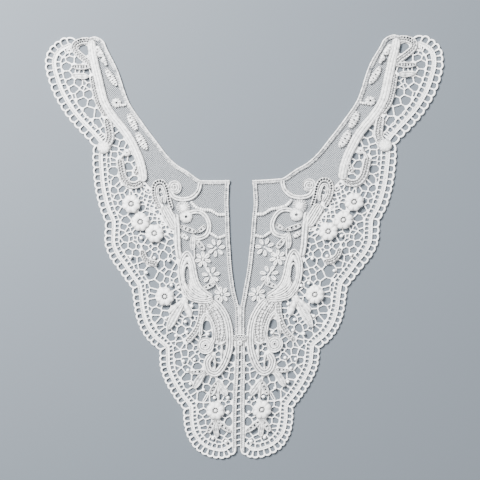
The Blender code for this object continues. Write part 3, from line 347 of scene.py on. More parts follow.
MOTIFS = table(
    "name layer shapes",
    ("shoulder_tape", "ground", (
        Tape(8.6, ((91.7, 40.6), (92.5, 52), (94.8, 64), (98, 77), (101, 90), (104, 101),
             (109, 111), (115.5, 120), (122.5, 128.5), (129, 137.5), (134.5, 148), (139.5, 160),
             (142.5, 171), (143.6, 181.5)), "satin", 3),
        Tape(6.6, ((92.5, 76), (95, 90), (99, 104), (106, 115)), "dotted", 2),
        Tape(7.0, ((91, 40.9), (82, 41.3), (75.6, 44.6), (75.2, 50), (81, 56.2), (88, 61.8),
             (93.5, 68)), "dotted", 2),
        Tape(5.0, ((134, 150), (137.3, 157), (138, 166), (134.6, 174)), "dotted", 1),
        Leaf(6.0, (72, 66.6), (91, 66.6), "slotted", 6),
        Leaf(6.2, (72.4, 75.2), (88.6, 76.6), "ribbed", 1),
        Disc(3.4, (97.6, 49.6), "eye", 0),
        Disc(3.2, (100.4, 54.6), "eye", 0),
        Tape(3.4, ((98, 47), (103, 56), (106.4, 66)), "fuzzy", 0),
        Disc(2.6, (103.4, 60.6), "eye", 0))),
    ("crescent_tape", "ground", (
        Tape(9.0, ((107, 118.5), (109, 128), (110, 138), (106.5, 146)), "dotted", 2),
        Disc(6.6, (103.8, 147.4), "plain", 0))),
    ("big_paisley", "ground", (
        Tape(7.8, ((119.8, 159), (121.3, 168), (123.6, 177.5), (128.6, 184), (136, 185),
             (142, 181.5)), "dotted", 2),
        Disc(3.8, (127, 152.8), "eye", 0),
        Tape(2.8, ((119.8, 161), (122.5, 156), (127, 152.8)), "corded", 1))),
    ("scroll", "ground", (
        Tape(11.6, ((163.6, 206.4), (165.6, 210), (169.6, 217.5), (175.4, 228)), "corded", 5),
        Tape(4.6, ((159.4, 208), (155.2, 200), (153.4, 192), (154, 186), (156.6, 182.4),
             (160.4, 181.4), (164.4, 183), (167, 188), (168.2, 194), (169.6, 201), (172, 209)),
             "dotted", 1),
        Tape(3.2, ((161.8, 203), (158.7, 197.4), (157.5, 192), (158, 188), (160.2, 186.6),
             (162.5, 188.2), (164.1, 193), (165.2, 198.4), (164.6, 203)), "corded", 2),
        Tape(6.4, ((176, 214), (177.4, 230), (178, 247), (179.6, 258)), "corded", 2))),
    ("spiral_hook", "net", (
        Tape(4.8, ((200.5, 182.5), (198.2, 191), (191.5, 197.6), (182, 199.4), (174, 197),
             (170, 190.5)), "corded", 2),
        Disc(6.8, (174.6, 187.4), "swirl", 2))),
    ("petal_loop", "net", (
        Disc(7.4, (183.4, 208), "hatched", 18),
        Disc(6.6, (186.2, 216.8), "eye", 0),
        Tape(4.8, ((188, 213.5), (196, 211.6), (203, 213.6), (208, 220), (209.4, 228), (206, 235.4),
             (198, 238.4), (193, 236)), "corded", 2),
        Leaf(5.0, (196.6, 232.6), (206, 225.6), "pitted", 2),
        Tape(3.4, ((191, 201.5), (196, 207.2), (203, 209.8), (211, 210.6), (218, 214.4),
             (226, 214.4)), "fuzzy", 0),
        Tape(3.0, ((209, 232), (215, 236), (219, 237.6), (226, 235)), "fuzzy", 0),
        Leaf(5.4, (180, 226), (196.5, 232), "slotted", 3),
        Leaf(5.6, (180.6, 233.4), (189, 239), "fuzzy", 1),
        Leaf(5.8, (193.6, 232.6), (193, 250.4), "ribbed", 1),
        Tape(2.0, ((194.4, 249.6), (194.6, 256), (193, 262)), "corded", 1),
        Leaf(6.0, (195.6, 238), (204.4, 250), "pitted", 2))),
    ("arch_paisley", "ground", (
        Tape(9.0, ((189, 283.5), (193, 290), (199.5, 294.6), (207, 296.8)), "corded", 4),
        Tape(6.0, ((186.5, 292), (190.5, 297.4), (198, 300), (206, 300.6), (213, 298.6)), "corded",
             3),
        Tape(4.6, ((185.6, 294), (182.2, 286), (180.2, 275), (180.4, 265), (183, 257),
             (187.2, 252.8), (190.8, 256.4), (193.6, 265), (195.4, 275), (198.6, 284.6),
             (204.4, 291.4), (212.5, 296.4)), "corded", 2),
        Tape(4.0, ((188.4, 291), (184.6, 283), (183, 274), (183.8, 265.6), (187.4, 260),
             (190.8, 265), (192, 275), (194.8, 284), (199.4, 290), (206, 295)), "corded", 1),
        Tape(2.2, ((184.6, 285), (184, 275), (184.6, 268.4), (187.3, 265.4), (189.8, 268.4),
             (190.8, 277), (193, 286)), "corded", 1),
        Tape(4.4, ((184.4, 260.6), (187.6, 258.8), (190.6, 261.2)), "corded", 1),
        Tape(3.6, ((190.6, 279), (190.8, 284), (192.6, 289)), "corded", 1),
        Leaf(5.2, (201, 289.5), (215, 282.6), "pitted", 3))),
    ("sweep_tapes", "ground", (
        Tape(7.4, ((213.6, 300.2), (220.4, 307.2), (226, 316.4), (229, 327), (229.9, 338),
             (229.4, 348), (226.6, 358), (222, 367.4), (216, 373), (209.4, 370.6), (207.2, 362),
             (211.6, 354.6)), "corded", 3),
        Tape(4.0, ((211.4, 301.4), (217.4, 308.6), (222.4, 317.6), (224.2, 327), (224, 335),
             (221.6, 341.6)), "dotted", 1),
        Tape(5.4, ((207.6, 302), (212.6, 308), (217, 315), (219.6, 322.4), (220.6, 330),
             (220, 338)), "eyelets", 1),
        Tape(3.4, ((205.2, 304.4), (209.4, 311), (213.8, 320.6), (217, 330), (218, 340.6)),
             "dotted", 1),
        Tape(2.8, ((216.4, 342.6), (220.6, 344), (225.6, 341)), "corded", 1),
        Tape(2.4, ((221.8, 344), (222, 351), (221.4, 358)), "corded", 1),
        Tape(2.2, ((214, 355), (215.2, 362), (214.6, 371)), "corded", 1))),
    ("spiral_eye", "ground", (
        Tape(3.9, ((200.6, 335), (201.8, 322), (205.6, 314.4), (210.6, 319.8), (213.4, 328.4),
             (213.9, 338), (210, 346)), "corded", 2),
        Tape(6.8, ((202, 304.5), (201.6, 313), (199.6, 322), (195.6, 331), (189.6, 338.4),
             (186, 341)), "ladder", 2),
        Disc(8.2, (205.5, 345.4), "rings", 3))),
    ("leaf_fan", "ground", (
        Disc(4.2, (184.2, 301), "plain", 0),
        Leaf(4.6, (184.5, 299), (169, 313), "satin", 1),
        Leaf(8.4, (185, 300), (168, 329), "ribbed", 1),
        Leaf(6.4, (184.5, 299), (191, 317), "satin", 1))),
    ("bent_leaf", "ground", (
        Tape(6.4, ((142.4, 250), (144.2, 257), (149.4, 261.8), (157.4, 263.6)), "dotted", 2),)),
    ("skirt_leaves", "ground", (
        Leaf(5.2, (190, 371.6), (205, 371), "pitted", 3),
        Leaf(7.4, (205.6, 371), (194, 388), "ribbed", 1))),
    ("bud_spray", "ground", (
        Leaf(6.4, (219, 379.5), (210.6, 395.5), "pitted", 4),
        Leaf(7.4, (217.4, 379.5), (227, 395), "ribbed", 1),
        Tape(2.8, ((218.2, 382), (218.4, 399)), "corded", 1))),
    ("hem_spray", "ground", (
        Leaf(5.8, (216, 419), (208, 432.5), "pitted", 3),
        Leaf(5.2, (215.6, 419), (217.2, 437), "ribbed", 1),
        Leaf(5.8, (214.6, 419), (231, 431), "pitted", 4))),
    ("net_leaf_upper", "net", (
        Leaf(6.8, (106, 68.5), (117, 86), "fuzzy", 2),)),
    ("net_leaf_middle", "net", (
        Leaf(7.6, (128.6, 113.5), (137, 130.5), "fuzzy", 2),)),
    ("net_leaf_lower", "net", (
        Leaf(8.2, (137, 132.5), (147, 149.5), "fuzzy", 2),)),
    ("net_bud", "net", (
        Disc(4.8, (116.6, 103), "star", 9),
        Tape(2.6, ((118, 104), (122, 105.6), (127, 104.4)), "fuzzy", 0))))


# Flat lines. Arrays of points, one row for each.

def on_chart(knots):
    """Chart cells to millimetres: x = (centre column - column) * cell, y = -row * cell."""
    cells = np.array(knots, float).reshape(-1, 2)
    return np.column_stack([(CENTRE_COL - cells[:, 0]) * CELL, -cells[:, 1] * CELL])


def on_chart_all(rows):
    """Where rows of a table with a col and a row lie."""
    return on_chart([(entry.col, entry.row) for entry in rows])


def at_height(flat, height):
    """Flat points (..., 2) with one height."""
    return np.concatenate([flat, np.full(flat.shape[:-1] + (1,), float(height))], axis=-1)


def way_along(line):
    """How far along the line each of its points lies."""
    return np.concatenate([[0], np.cumsum(np.linalg.norm(np.diff(line, axis=0), axis=1))])


def read_at(marks, run, line):
    """The line's columns read at marks of the way along it."""
    return np.column_stack([np.interp(marks, run, column) for column in line.T])


def evenly(line, count=None, step=LINE_STEP):
    """The line read at even steps of its length."""
    run = way_along(line)
    count = count or max(2, int(round(run[-1] / step)) + 1)
    return read_at(np.linspace(0, run[-1], count), run, line)


def smooth(points, step):
    """A Catmull-Rom curve through the points, read at even steps."""
    if len(points) < 3:
        return evenly(points, step=step)
    ends = np.vstack([2 * points[0] - points[1], points, 2 * points[-1] - points[-2]])
    t = np.linspace(0, 1, CURVE_POINTS, endpoint=False)[:, None]
    spans = []
    for before, start, end, after in zip(ends, ends[1:], ends[2:], ends[3:]):
        slope = (end - before) * t
        bend = (2 * before - 5 * start + 4 * end - after) * t ** 2
        swing = (3 * start - before - 3 * end + after) * t ** 3
        spans.append(0.5 * (2 * start + slope + bend + swing))
    return evenly(np.vstack(spans + [points[-1:]]), step=step)


def curve(knots, step=LINE_STEP):
    """A smooth line through knots given in chart cells."""
    return smooth(on_chart(knots), step)


def sideways(path):
    """Unit vectors to the left of the direction of travel."""
    along = np.gradient(path, axis=0)
    along /= np.linalg.norm(along, axis=1)[:, None]
    return np.column_stack([-along[:, 1], along[:, 0]])


def signed_area(ring):
    """Half the sum of the corners' cross products: above zero where the ring turns left."""
    x, y = ring[:, 0], ring[:, 1]
    return 0.5 * float(np.sum(x * np.roll(y, -1) - y * np.roll(x, -1)))


def turned_left(ring):
    """The ring, read backwards where it turns right."""
    return ring if signed_area(ring) > 0 else ring[::-1]


def oval(centre, wide, tall, tilt):
    """A ring round an oval whose long way is tilted clockwise on the chart."""
    angle = (np.arange(OVAL_POINTS) + 0.5) * 2 * math.pi / OVAL_POINTS
    x, y = wide / 2 * np.cos(angle), tall / 2 * np.sin(angle)
    lean = math.radians(tilt)
    return np.array(centre) + np.column_stack([-(x * math.cos(lean) - y * math.sin(lean)),
                                               -(x * math.sin(lean) + y * math.cos(lean))])


def clipped(ring, normal, limit):
    """The part of a convex ring on the near side of a line."""
    heights = ring @ normal - limit
    runs = zip(ring, np.roll(ring, -1, axis=0), heights, np.roll(heights, -1))
    kept = []
    for here, there, low, high in runs:
        if low <= 0:
            kept.append(here)
        if (low < 0 < high) or (high < 0 < low):
            kept.append(here + (there - here) * low / (low - high))
    return np.array(kept)


def rounded(ring, passes=2):
    """A ring of RING_POINTS even points with its corners rounded: each point moves to the mean of
    its neighbours, and the ring is scaled back to its area."""
    ring = evenly(np.vstack([ring, ring[:1]]), count=RING_POINTS + 1)[:-1]
    size = abs(signed_area(ring))
    for _ in range(passes):
        ring = (np.roll(ring, 1, axis=0) + 2 * ring + np.roll(ring, -1, axis=0)) / 4
    middle = ring.mean(axis=0)
    return middle + (ring - middle) * math.sqrt(size / abs(signed_area(ring)))


def grown(rings, by):
    """Rings (count, points, 2) that turn left, moved outwards: each point goes along the mean
    normal of its two runs, all by one distance or each by its own."""
    along = np.roll(rings, -1, axis=1) - np.roll(rings, 1, axis=1)
    along = along / np.linalg.norm(along, axis=2, keepdims=True)
    return rings + np.reshape(by, (-1, 1)) * np.stack([along[..., 1], -along[..., 0]], axis=-1)


def covers(ring, spots):
    """Whether a ring that turns left winds round each spot."""
    start, end = ring[:, None], np.roll(ring, -1, axis=0)[:, None]
    left_of = ((end - start)[..., 0] * (spots[:, 1] - start[..., 1])
               - (end - start)[..., 1] * (spots[:, 0] - start[..., 0]))
    rises = (start[..., 1] <= spots[:, 1]) & (end[..., 1] > spots[:, 1]) & (left_of > 0)
    falls = (start[..., 1] > spots[:, 1]) & (end[..., 1] <= spots[:, 1]) & (left_of < 0)
    return rises.sum(axis=0) - falls.sum(axis=0) > 0


# The scalloped edge

def edge_stations():
    """For each scallop: its dense outer line with unit vectors inward, which lean to the middle of
    both scallops' directions where two of them meet."""
    lines = [curve(row.knots) for row in SCALLOPS]
    inward = [-sideways(line) for line in lines]
    for before, after in zip(inward, inward[1:]):
        middle = before[-1] + after[0]
        middle /= np.linalg.norm(middle)
        for side in (before[::-1], after):
            share = np.clip(1 - np.arange(len(side)) * LINE_STEP / CORNER_REACH, 0, 1)
            share = share[:, None] ** CORNER_EASE
            turned = side * (1 - share) + middle * share
            side[:] = turned / np.linalg.norm(turned, axis=1)[:, None]
    return list(zip(SCALLOPS, lines, inward))


def along_band():
    """The middle of the ribbed band between the two ladders, with its half width at each station;
    both blend from scallop to scallop as a running mean."""
    stations = edge_stations()
    lengths = [len(line) for _, line, _ in stations]
    middle = np.repeat([(row.ladder[1] + row.inner[0]) / 2 for row in SCALLOPS], lengths)
    half = np.repeat([(row.inner[0] - row.ladder[1]) / 2 for row in SCALLOPS], lengths)
    window = np.ones(BAND_BLEND) / BAND_BLEND
    middle, half = [np.convolve(np.pad(one, BAND_BLEND // 2, "edge"), window, "valid")
                    for one in (middle, half)]
    line = np.vstack([line for _, line, _ in stations])
    inward = np.vstack([lean for _, _, lean in stations])
    return evenly(np.column_stack([line + inward * middle[:, None], half]))


def ladder_cells(outer, bar):
    """Openings of the outer or the inner ladder, as rings: |u|^6 + |v|^6 = 1 laid over each cell. An
    outer cell bulges out by bulge (1 - u^2), and a knot half way down each of its bars draws its
    sides in by e^-(v / length)^2. Also how far each point of a ring lies towards the outer side."""
    corners = LADDER_POINTS if outer else RING_POINTS
    angle = np.arange(corners) * 2 * math.pi / corners
    reach = np.abs(np.cos(angle)) ** SQUARE + np.abs(np.sin(angle)) ** SQUARE
    reach = reach ** (-1 / SQUARE)
    u, v = reach * np.cos(angle), reach * np.sin(angle)
    share = (1 + v) / 2                    # from the outer to the inner side
    waist = 1 - KNOT[0] * np.exp(-(v / KNOT[1]) ** 2) * outer
    rings = []
    for row, line, inward in edge_stations():
        depths = np.array(row.ladder) + (row.bulge, 0) if outer else row.inner
        run = way_along(line if outer else line + inward * depths[1])
        count, first = row.gaps, row.first
        if not outer:
            count, first = max(LEAST_INNER_CELLS, int(round(run[-1] / row.pitch))), 1.0
        marks = np.concatenate([[0], np.arange(count) + first]) * run[-1] / (count - 1 + first)
        bulge = row.bulge * (1 - u ** 2) * np.clip(-v, 0, 1) * outer
        for at in zip(marks, marks[1:]):
            foot, lean = read_at(at, run, line), read_at(at, run, inward)
            low, high = foot + lean * depths[0], foot + lean * depths[1]
            wide = (np.linalg.norm(low[1] - low[0]) * (1 - share)
                    + np.linalg.norm(high[1] - high[0]) * share)
            across = u * waist * (1 - 2 * bar / wide)
            left, right = [low[end] * (1 - share)[:, None] + high[end] * share[:, None]
                           for end in (0, 1)]
            ring = (left + right) / 2 + (right - left) / 2 * across[:, None]
            rings.append(ring - lean.mean(axis=0) * bulge[:, None])
    if signed_area(rings[0]) < 0:
        rings, v = [ring[::-1] for ring in rings], v[::-1]
    return rings, np.clip(-v, 0, 1)


# The gaps of the bar ground

def room_beside(spots, gap):
    """How far each spot lies from a gap: from the oval's middle, less the oval's radius that way."""
    centre, lean = on_chart((gap.col, gap.row))[0], math.radians(gap.tilt)
    away = spots - centre
    x = -(away[:, 0] * math.cos(lean) + away[:, 1] * math.sin(lean))
    y = away[:, 0] * math.sin(lean) - away[:, 1] * math.cos(lean)
    half_wide, half_tall = gap.wide * CELL / 2, gap.tall * CELL / 2
    length = np.maximum(np.hypot(x, y), TINY)
    stretched = np.maximum(np.hypot(half_tall * x, half_wide * y), TINY)
    return length - half_wide * half_tall * length / stretched


def still_free(spots, room, away):
    """The spots with room left for the least gap and a bar, when something lies so far away."""
    room = np.minimum(room, away)
    free = room > FILL_LEAST + BAR_WIDE
    return spots[free], room[free]


def filler_gaps(outer, neighbours, rows):
    """Small round gaps for what the charted ones leave over: on a grid of free spots inside the outer
    line, the spot furthest from everything takes the next gap, as long as one fits."""
    grid = [np.arange(outer[:, axis].min(), outer[:, axis].max(), FILL_GRID) for axis in (0, 1)]
    spots = np.stack(np.meshgrid(*grid), -1).reshape(-1, 2)
    room = np.full(len(spots), np.inf)
    for gap in rows:
        spots, room = still_free(spots, room, room_beside(spots, gap))
    for centre, radius in neighbours:
        spots, room = still_free(spots, room, np.linalg.norm(spots - centre, axis=1) - radius)
    inside = covers(turned_left(outer), spots)
    spots, room = spots[inside], room[inside]
    row_type = type(rows[0])
    found = []
    while len(room) and room.max() - BAR_WIDE > FILL_LEAST:
        best = int(np.argmax(room))
        radius, centre = min(room[best] - BAR_WIDE, FILL_MOST), spots[best]
        size = 2 * radius / CELL
        found.append(row_type(CENTRE_COL - centre[0] / CELL, -centre[1] / CELL, size, size, 0))
        room = np.minimum(room, np.linalg.norm(spots - centre, axis=1) - radius)
    return found


def spots_of_shape(shape):
    """Round spots that stand for a satin shape, as (centre, radius)."""
    if isinstance(shape, Disc):
        return [(on_chart(shape.centre)[0], shape.radius * CELL - TUCK)]
    half = shape.wide * CELL / 2
    if isinstance(shape, Tape):
        spots = curve(shape.knots, SHAPE_SPOTS)
        sizes = np.full(len(spots), half)
    else:
        spots = evenly(on_chart((shape.start, shape.end)), step=SHAPE_SPOTS)[1:-1]
        angle = math.pi * (np.arange(len(spots)) + 1) / (len(spots) + 1)
        sizes = half * np.sin(angle) ** LEAF_ROUND
    return [(spot, max(size - TUCK, LEAST_BODY)) for spot, size in zip(spots, sizes)]


def neighbours_of_gaps(edge_rings, seam, front):
    """Round things that a gap keeps clear of, as (centre, radius): the edge's cells, points along the
    seam and the front braid, rosettes, and points along each satin shape of the ground."""
    found = [(ring.mean(axis=0), math.sqrt(abs(signed_area(ring)) / math.pi))
             for ring in edge_rings]
    for line in (seam, front):
        found += [(point, SEAM_ROOM) for point in evenly(line, step=SEAM_SPOTS)]
    found += [(point, ROSETTE[0] - TUCK) for point in on_chart_all(ROSETTES)]
    for motif in MOTIFS:
        if motif.layer == "ground":
            found += [spot for shape in motif.shapes for spot in spots_of_shape(shape)]
    return found


def ground_gaps(edge_rings, outer, seam, front):
    """Rings of all gaps in the bar ground: ovals trimmed along the lines on which the powers of two
    neighbours are equal, less half a bar, with rounded corners."""
    rows = SHOULDER_GAPS + SIDE_GAPS + FRONT_GAPS + SKIRT_GAPS + SMALL_GAPS + TRELLIS_GAPS
    around = neighbours_of_gaps(edge_rings, seam, front)
    rows = rows + filler_gaps(outer, around + [(point, BAND_KEPT) for point in outer[::2]], rows)
    centres = np.vstack([on_chart_all(rows), [centre for centre, _ in around]])
    radii = np.array([math.sqrt(gap.wide * gap.tall) / 2 * CELL for gap in rows]
                     + [size for _, size in around])
    barred = len(rows) + len(edge_rings)   # a bar lies towards these and none towards the others
    rings = []
    for index, gap in enumerate(rows):
        swell = TRELLIS_FULLNESS if gap in TRELLIS_GAPS else FULLNESS
        ring = turned_left(oval(centres[index], gap.wide * CELL * swell, gap.tall * CELL * swell,
                                gap.tilt))
        away = centres - centres[index]
        distance = np.linalg.norm(away, axis=1)
        near = (distance > 0) & (distance < SIGHT * radii[index] * FULLNESS + radii)
        for other in np.flatnonzero(near):
            normal = away[other] / distance[other]
            power = distance[other] ** 2 + radii[index] ** 2 - radii[other] ** 2
            reach = power / (2 * distance[other]) - BAR_WIDE / 2 * (other < barred)
            reach = max(reach, LEAST_REACH * radii[index])
            ring = clipped(ring, normal, float(normal @ centres[index]) + reach)
        rings.append(rounded(ring))
    return rings


# Meshes. A piece gathers faces with, for each corner, its place along and across the thread in
# millimetres; the right half keeps their order and the left half, its mirror image, turns them round.

def corner_places(along, across):
    """Places of the four corners of quads, from the values at their two ends both ways."""
    ends = ((0, 0), (0, 1), (1, 1), (1, 0))
    places = [np.stack([along[one], across[other]], -1) for one, other in ends]
    return np.stack(places, -2).reshape(-1, 4, 2)


class Work:
    """Points, relief, faces and corner places of one half's piece, until it is laid as an object."""

    def __init__(self):
        self.points, self.relief, self.faces, self.places, self.count = [], [], [], [], 0

    def add(self, points, faces, places, relief=1.0):
        """Points (n, 3), faces (f, k) into them and corner places (f, k, 2)."""
        self.points.append(points)
        self.relief.append(np.broadcast_to(relief, len(points)))
        self.add_faces(faces + self.count, places)
        self.count += len(points)

    def add_faces(self, faces, places):
        """Faces (f, k) into the points of the whole piece."""
        self.faces.append(faces)
        self.places.append(np.broadcast_to(places, faces.shape + (2,)))

    def sweep(self, sections, along, around, closed=False, relief=1.0):
        """A closed outline carried along a line: sections (lines, stations, outline, 3), the way along
        (stations) and round (outline + 1) in millimetres. Open lines end in flat caps."""
        lines, stations, corners = sections.shape[:3]
        spans = stations if closed else stations - 1
        i, j = np.meshgrid(np.arange(spans), np.arange(corners), indexing="ij")
        following, beside = (i + 1) % stations, (j + 1) % corners
        quad = np.stack([i * corners + j, i * corners + beside, following * corners + beside,
                         following * corners + j], axis=-1).reshape(-1, 4)
        start = np.arange(lines)[:, None, None] * stations * corners
        along = np.append(along, along[-1] + along[1] - along[0])
        place = corner_places((along[i], along[i + 1]), (around[j], around[j + 1]))
        first = self.count
        self.add(sections.reshape(-1, 3), (quad[None] + start).reshape(-1, 4),
                 np.tile(place, (lines, 1, 1)), np.ravel(relief))
        if not closed:
            lid = np.arange(corners)
            for where, order in ((0, lid[::-1]), ((stations - 1) * corners, lid)):
                self.add_faces(order[None] + where + start[:, 0] + first, [along[0], 0.0])

    def object(self, name, side, material):
        """The finished half as a Blender object, laid on the table in metres."""
        points = np.vstack(self.points)
        flat = lay(points[:, :2], side) + SHIFT
        points = np.column_stack([flat, points[:, 2]]) / 1000
        turn = slice(None, None, -1) if side < 0 else slice(None)
        faces = [face for group in self.faces for face in group[:, turn].tolist()]
        mesh = bpy.data.meshes.new(name)
        mesh.from_pydata(points.tolist(), [], faces)
        places = np.concatenate([place[:, turn].reshape(-1, 2) for place in self.places])
        uv_layer = mesh.uv_layers.new(name="thread")
        uv_layer.data.foreach_set("uv", places.ravel().astype(np.float32))
        # the relief is also the mask by which the thread's colour paints shade into grooves and walls
        crest = mesh.attributes.new("crest", "FLOAT", "POINT")
        crest.data.foreach_set("value", np.concatenate(self.relief).astype(np.float32))
        mesh.shade_smooth()
        mesh.set_sharp_from_angle(angle=math.radians(SHARP_ANGLE))
        mesh.materials.append(material)
        piece = bpy.data.objects.new(name, mesh)
        bpy.context.scene.collection.objects.link(piece)
        return piece


def unit(vectors):
    """Vectors scaled to length 1 along the last axis; a vector of no length stays as it is."""
    return vectors / np.maximum(np.linalg.norm(vectors, axis=-1, keepdims=True), TINY)


def cords(work, lines, radius, closed=False, crush=1.0, drawn=0.35):
    """Round cords: a circle of the radius carried along each line (lines, stations, 3). Heights are
    scaled by crush, and open ends draw in to a share of the radius."""
    if closed:
        along = unit(np.roll(lines, -1, axis=1) - np.roll(lines, 1, axis=1))
    else:
        along = unit(np.gradient(lines, axis=1))
    level = unit(np.stack([-along[..., 1], along[..., 0], np.zeros(along.shape[:2])], axis=-1))
    up = np.cross(along, level)
    angle = np.arange(CORD_SIDES) * 2 * math.pi / CORD_SIDES
    radii = np.broadcast_to(radius, lines.shape[1]).astype(float)
    if not closed:
        radii[[0, -1]] *= drawn
    ring = (level[:, :, None] * np.cos(angle)[:, None]
            + up[:, :, None] * np.sin(angle)[:, None] * crush)
    sections = lines[:, :, None] + ring * radii[:, None, None]
    step = float(np.linalg.norm(lines[:, 1] - lines[:, 0], axis=1).mean())
    around = np.arange(CORD_SIDES + 1) * 2 * math.pi * float(np.mean(radius)) / CORD_SIDES
    work.sweep(sections, np.arange(lines.shape[1]) * step, around, closed)


def ribbon(work, path, half, base, top, finish, across):
    """A tape: over a path (stations, 2) the height is base + (top - base) * finish(s, t), where s is
    the way along and t runs from 1 to -1 across. Its underside is flat."""
    half = np.broadcast_to(half, len(path))
    run = way_along(path)
    t = np.linspace(1, -1, across)
    share = np.clip(finish(run[:, None], t[None, :]), LEAST_RELIEF, 1)
    t = np.concatenate([t, [-1, 1]])
    flat = path[:, None] + sideways(path)[:, None] * (t[None, :, None] * half[:, None, None])
    share = np.column_stack([share, np.zeros((len(path), 2))])
    height = base + (top - base) * share
    around = way_along(t[:, None]) * float(half.mean())
    around = np.append(around, around[-1] + 1.0)
    # the walls and underside take SKIRT_RELIEF only as their tone, which paints shade on them
    share[:, -2:] = SKIRT_RELIEF
    sections = np.concatenate([flat, height[..., None]], axis=-1)[None]
    work.sweep(sections, run, around, relief=share[None])


def disc(work, centre, rim, base, top, finish, rings=12, spokes=SPOKES):
    """A round boss: its rim is a function of the angle, and over the share r of the rim the height is
    base + (top - base) * finish(r, angle)."""
    angle = np.arange(spokes) * 2 * math.pi / spokes
    shares = np.linspace(0, 1, rings + 1)[1:]
    reach = shares[:, None] * rim(angle)[None]
    high = np.broadcast_to(finish(shares[:, None], angle[None]), reach.shape)
    high = np.clip(high, LEAST_RELIEF, 1)
    zero = np.zeros((1, 1))
    middle = np.clip(finish(zero, zero), LEAST_RELIEF, 1).item()
    flat = np.stack([centre[0] + reach * np.cos(angle), centre[1] + reach * np.sin(angle)], -1)
    dome = np.concatenate([flat, (base + (top - base) * high)[..., None]], axis=-1)
    points = np.vstack([[[*centre, base + (top - base) * middle]], dome.reshape(-1, 3),
                        at_height(flat[-1], base)])
    # the base ring takes SKIRT_RELIEF only as its tone, which paints shade on the disc's wall
    relief = np.concatenate([[middle], high.ravel(), np.full(spokes, SKIRT_RELIEF)])
    i, j = np.meshgrid(np.arange(rings), np.arange(spokes), indexing="ij")
    beside = (j + 1) % spokes
    start = 1 + i * spokes
    quads = np.stack([start + j, start + spokes + j, start + spokes + beside, start + beside],
                     axis=-1).reshape(-1, 4)
    size = float(rim(angle).mean())
    arc = size * 2 * math.pi / spokes
    first = work.count
    work.add(points, quads, corner_places((j * arc, (j + 1) * arc),
                                          (i * size / rings, (i + 1) * size / rings)), relief)
    spoke = np.arange(spokes)
    fan = np.column_stack([np.zeros(spokes, int), 1 + spoke, 1 + (spoke + 1) % spokes])
    work.add_faces(fan + first, [0.0, 0.0])
    work.add_faces((1 + rings * spokes + spoke[::-1])[None] + first, [0.0, 0.0])


def balls(work, centres, radius, sides=8, rings=5):
    """Small round balls: x = r sin(a) cos(b), y = r sin(a) sin(b), z = r cos(a)."""
    tilt = np.linspace(0, math.pi, rings + 2)[1:-1]
    angle = np.arange(sides) * 2 * math.pi / sides
    shell = np.stack([np.sin(tilt)[:, None] * np.cos(angle), np.sin(tilt)[:, None] * np.sin(angle),
                      np.repeat(np.cos(tilt)[:, None], sides, axis=1)], -1).reshape(-1, 3)
    ball = np.vstack([[[0, 0, 1]], shell, [[0, 0, -1]]]) * radius
    i, j = np.meshgrid(np.arange(rings - 1), np.arange(sides), indexing="ij")
    beside = (j + 1) % sides
    quads = np.stack([1 + i * sides + j, 1 + (i + 1) * sides + j, 1 + (i + 1) * sides + beside,
                      1 + i * sides + beside], -1).reshape(-1, 4)
    side = np.arange(sides)
    following = (side + 1) % sides
    last = 1 + (rings - 1) * sides
    caps = np.vstack([
        np.column_stack([np.zeros(sides, int), 1 + side, 1 + following]),
        np.column_stack([np.full(sides, len(ball) - 1), last + following, last + side])])
    shift = np.arange(len(centres))[:, None, None] * len(ball)
    first = work.count
    work.add((centres[:, None] + ball[None]).reshape(-1, 3), (quads[None] + shift).reshape(-1, 4),
             [0.0, 0.0])
    work.add_faces((caps[None] + shift).reshape(-1, 3) + first, [0.0, 0.0])


def filled(rings):
    """Constrained Delaunay triangles inside the first ring and outside all others, as flat points,
    triangles and the runs along their border."""
    corners, faces = [], []
    for ring in rings:
        faces.append(list(range(len(corners), len(corners) + len(ring))))
        corners.extend(Vector(point) for point in ring)
    flat, _, triangles = delaunay_2d_cdt(corners, [], faces, 0, MERGE)[:3]
    flat = np.array([tuple(point) for point in flat])
    triangles = np.array(triangles)
    middles = flat[triangles].mean(axis=1)
    kept = covers(rings[0], middles)
    for ring in rings[1:]:
        near = (np.abs(middles - ring.mean(axis=0)) < np.ptp(ring, axis=0)).all(axis=1)
        kept[near] &= ~covers(ring, middles[near])
    triangles = triangles[kept]
    count = len(flat)
    edges = np.vstack([triangles[:, [0, 1]], triangles[:, [1, 2]], triangles[:, [2, 0]]])
    border = edges[~np.isin(edges[:, 0] * count + edges[:, 1], edges[:, 1] * count + edges[:, 0])]
    used = np.unique(triangles)
    index = np.full(count, -1)
    index[used] = np.arange(len(used))
    return flat[used], index[triangles], index[border]


def plate(work, outer, holes, base, top):
    """A flat wall: the top inside the outer ring and outside every hole, its underside, and upright
    walls along their borders."""
    flat, triangles, border = filled([turned_left(ring) for ring in [outer] + holes])
    count = len(flat)
    points = np.vstack([at_height(flat, base), at_height(flat, top)])
    caps = np.vstack([triangles[:, ::-1], triangles + count])
    walls = np.column_stack([border[:, 0], border[:, 1], border[:, 1] + count,
                             border[:, 0] + count])
    first = work.count
    work.add(points, caps, points[caps][..., :2])
    work.add_faces(walls + first, points[walls][..., :2])


# Reliefs of the stitches: shares of a tape's height by the way s along and the place t across, from
# -1 to 1, or of a disc's by the share r of its radius and the angle

def bead(share):
    """The round back of a cord: 2 sqrt(share (1 - share)) over the share of its width."""
    share = share % 1
    return np.sqrt(np.clip(4 * share * (1 - share), 0, 1))


def crown(t):
    """The round back of a tape: (1 - t^2)^0.35."""
    return (1 - np.clip(np.abs(t), 0, 0.995) ** 2) ** 0.35


def teeth(s, pitch):
    """Ridges a pitch apart: |sin(pi s / pitch)|."""
    return np.abs(np.sin(math.pi * s / pitch))


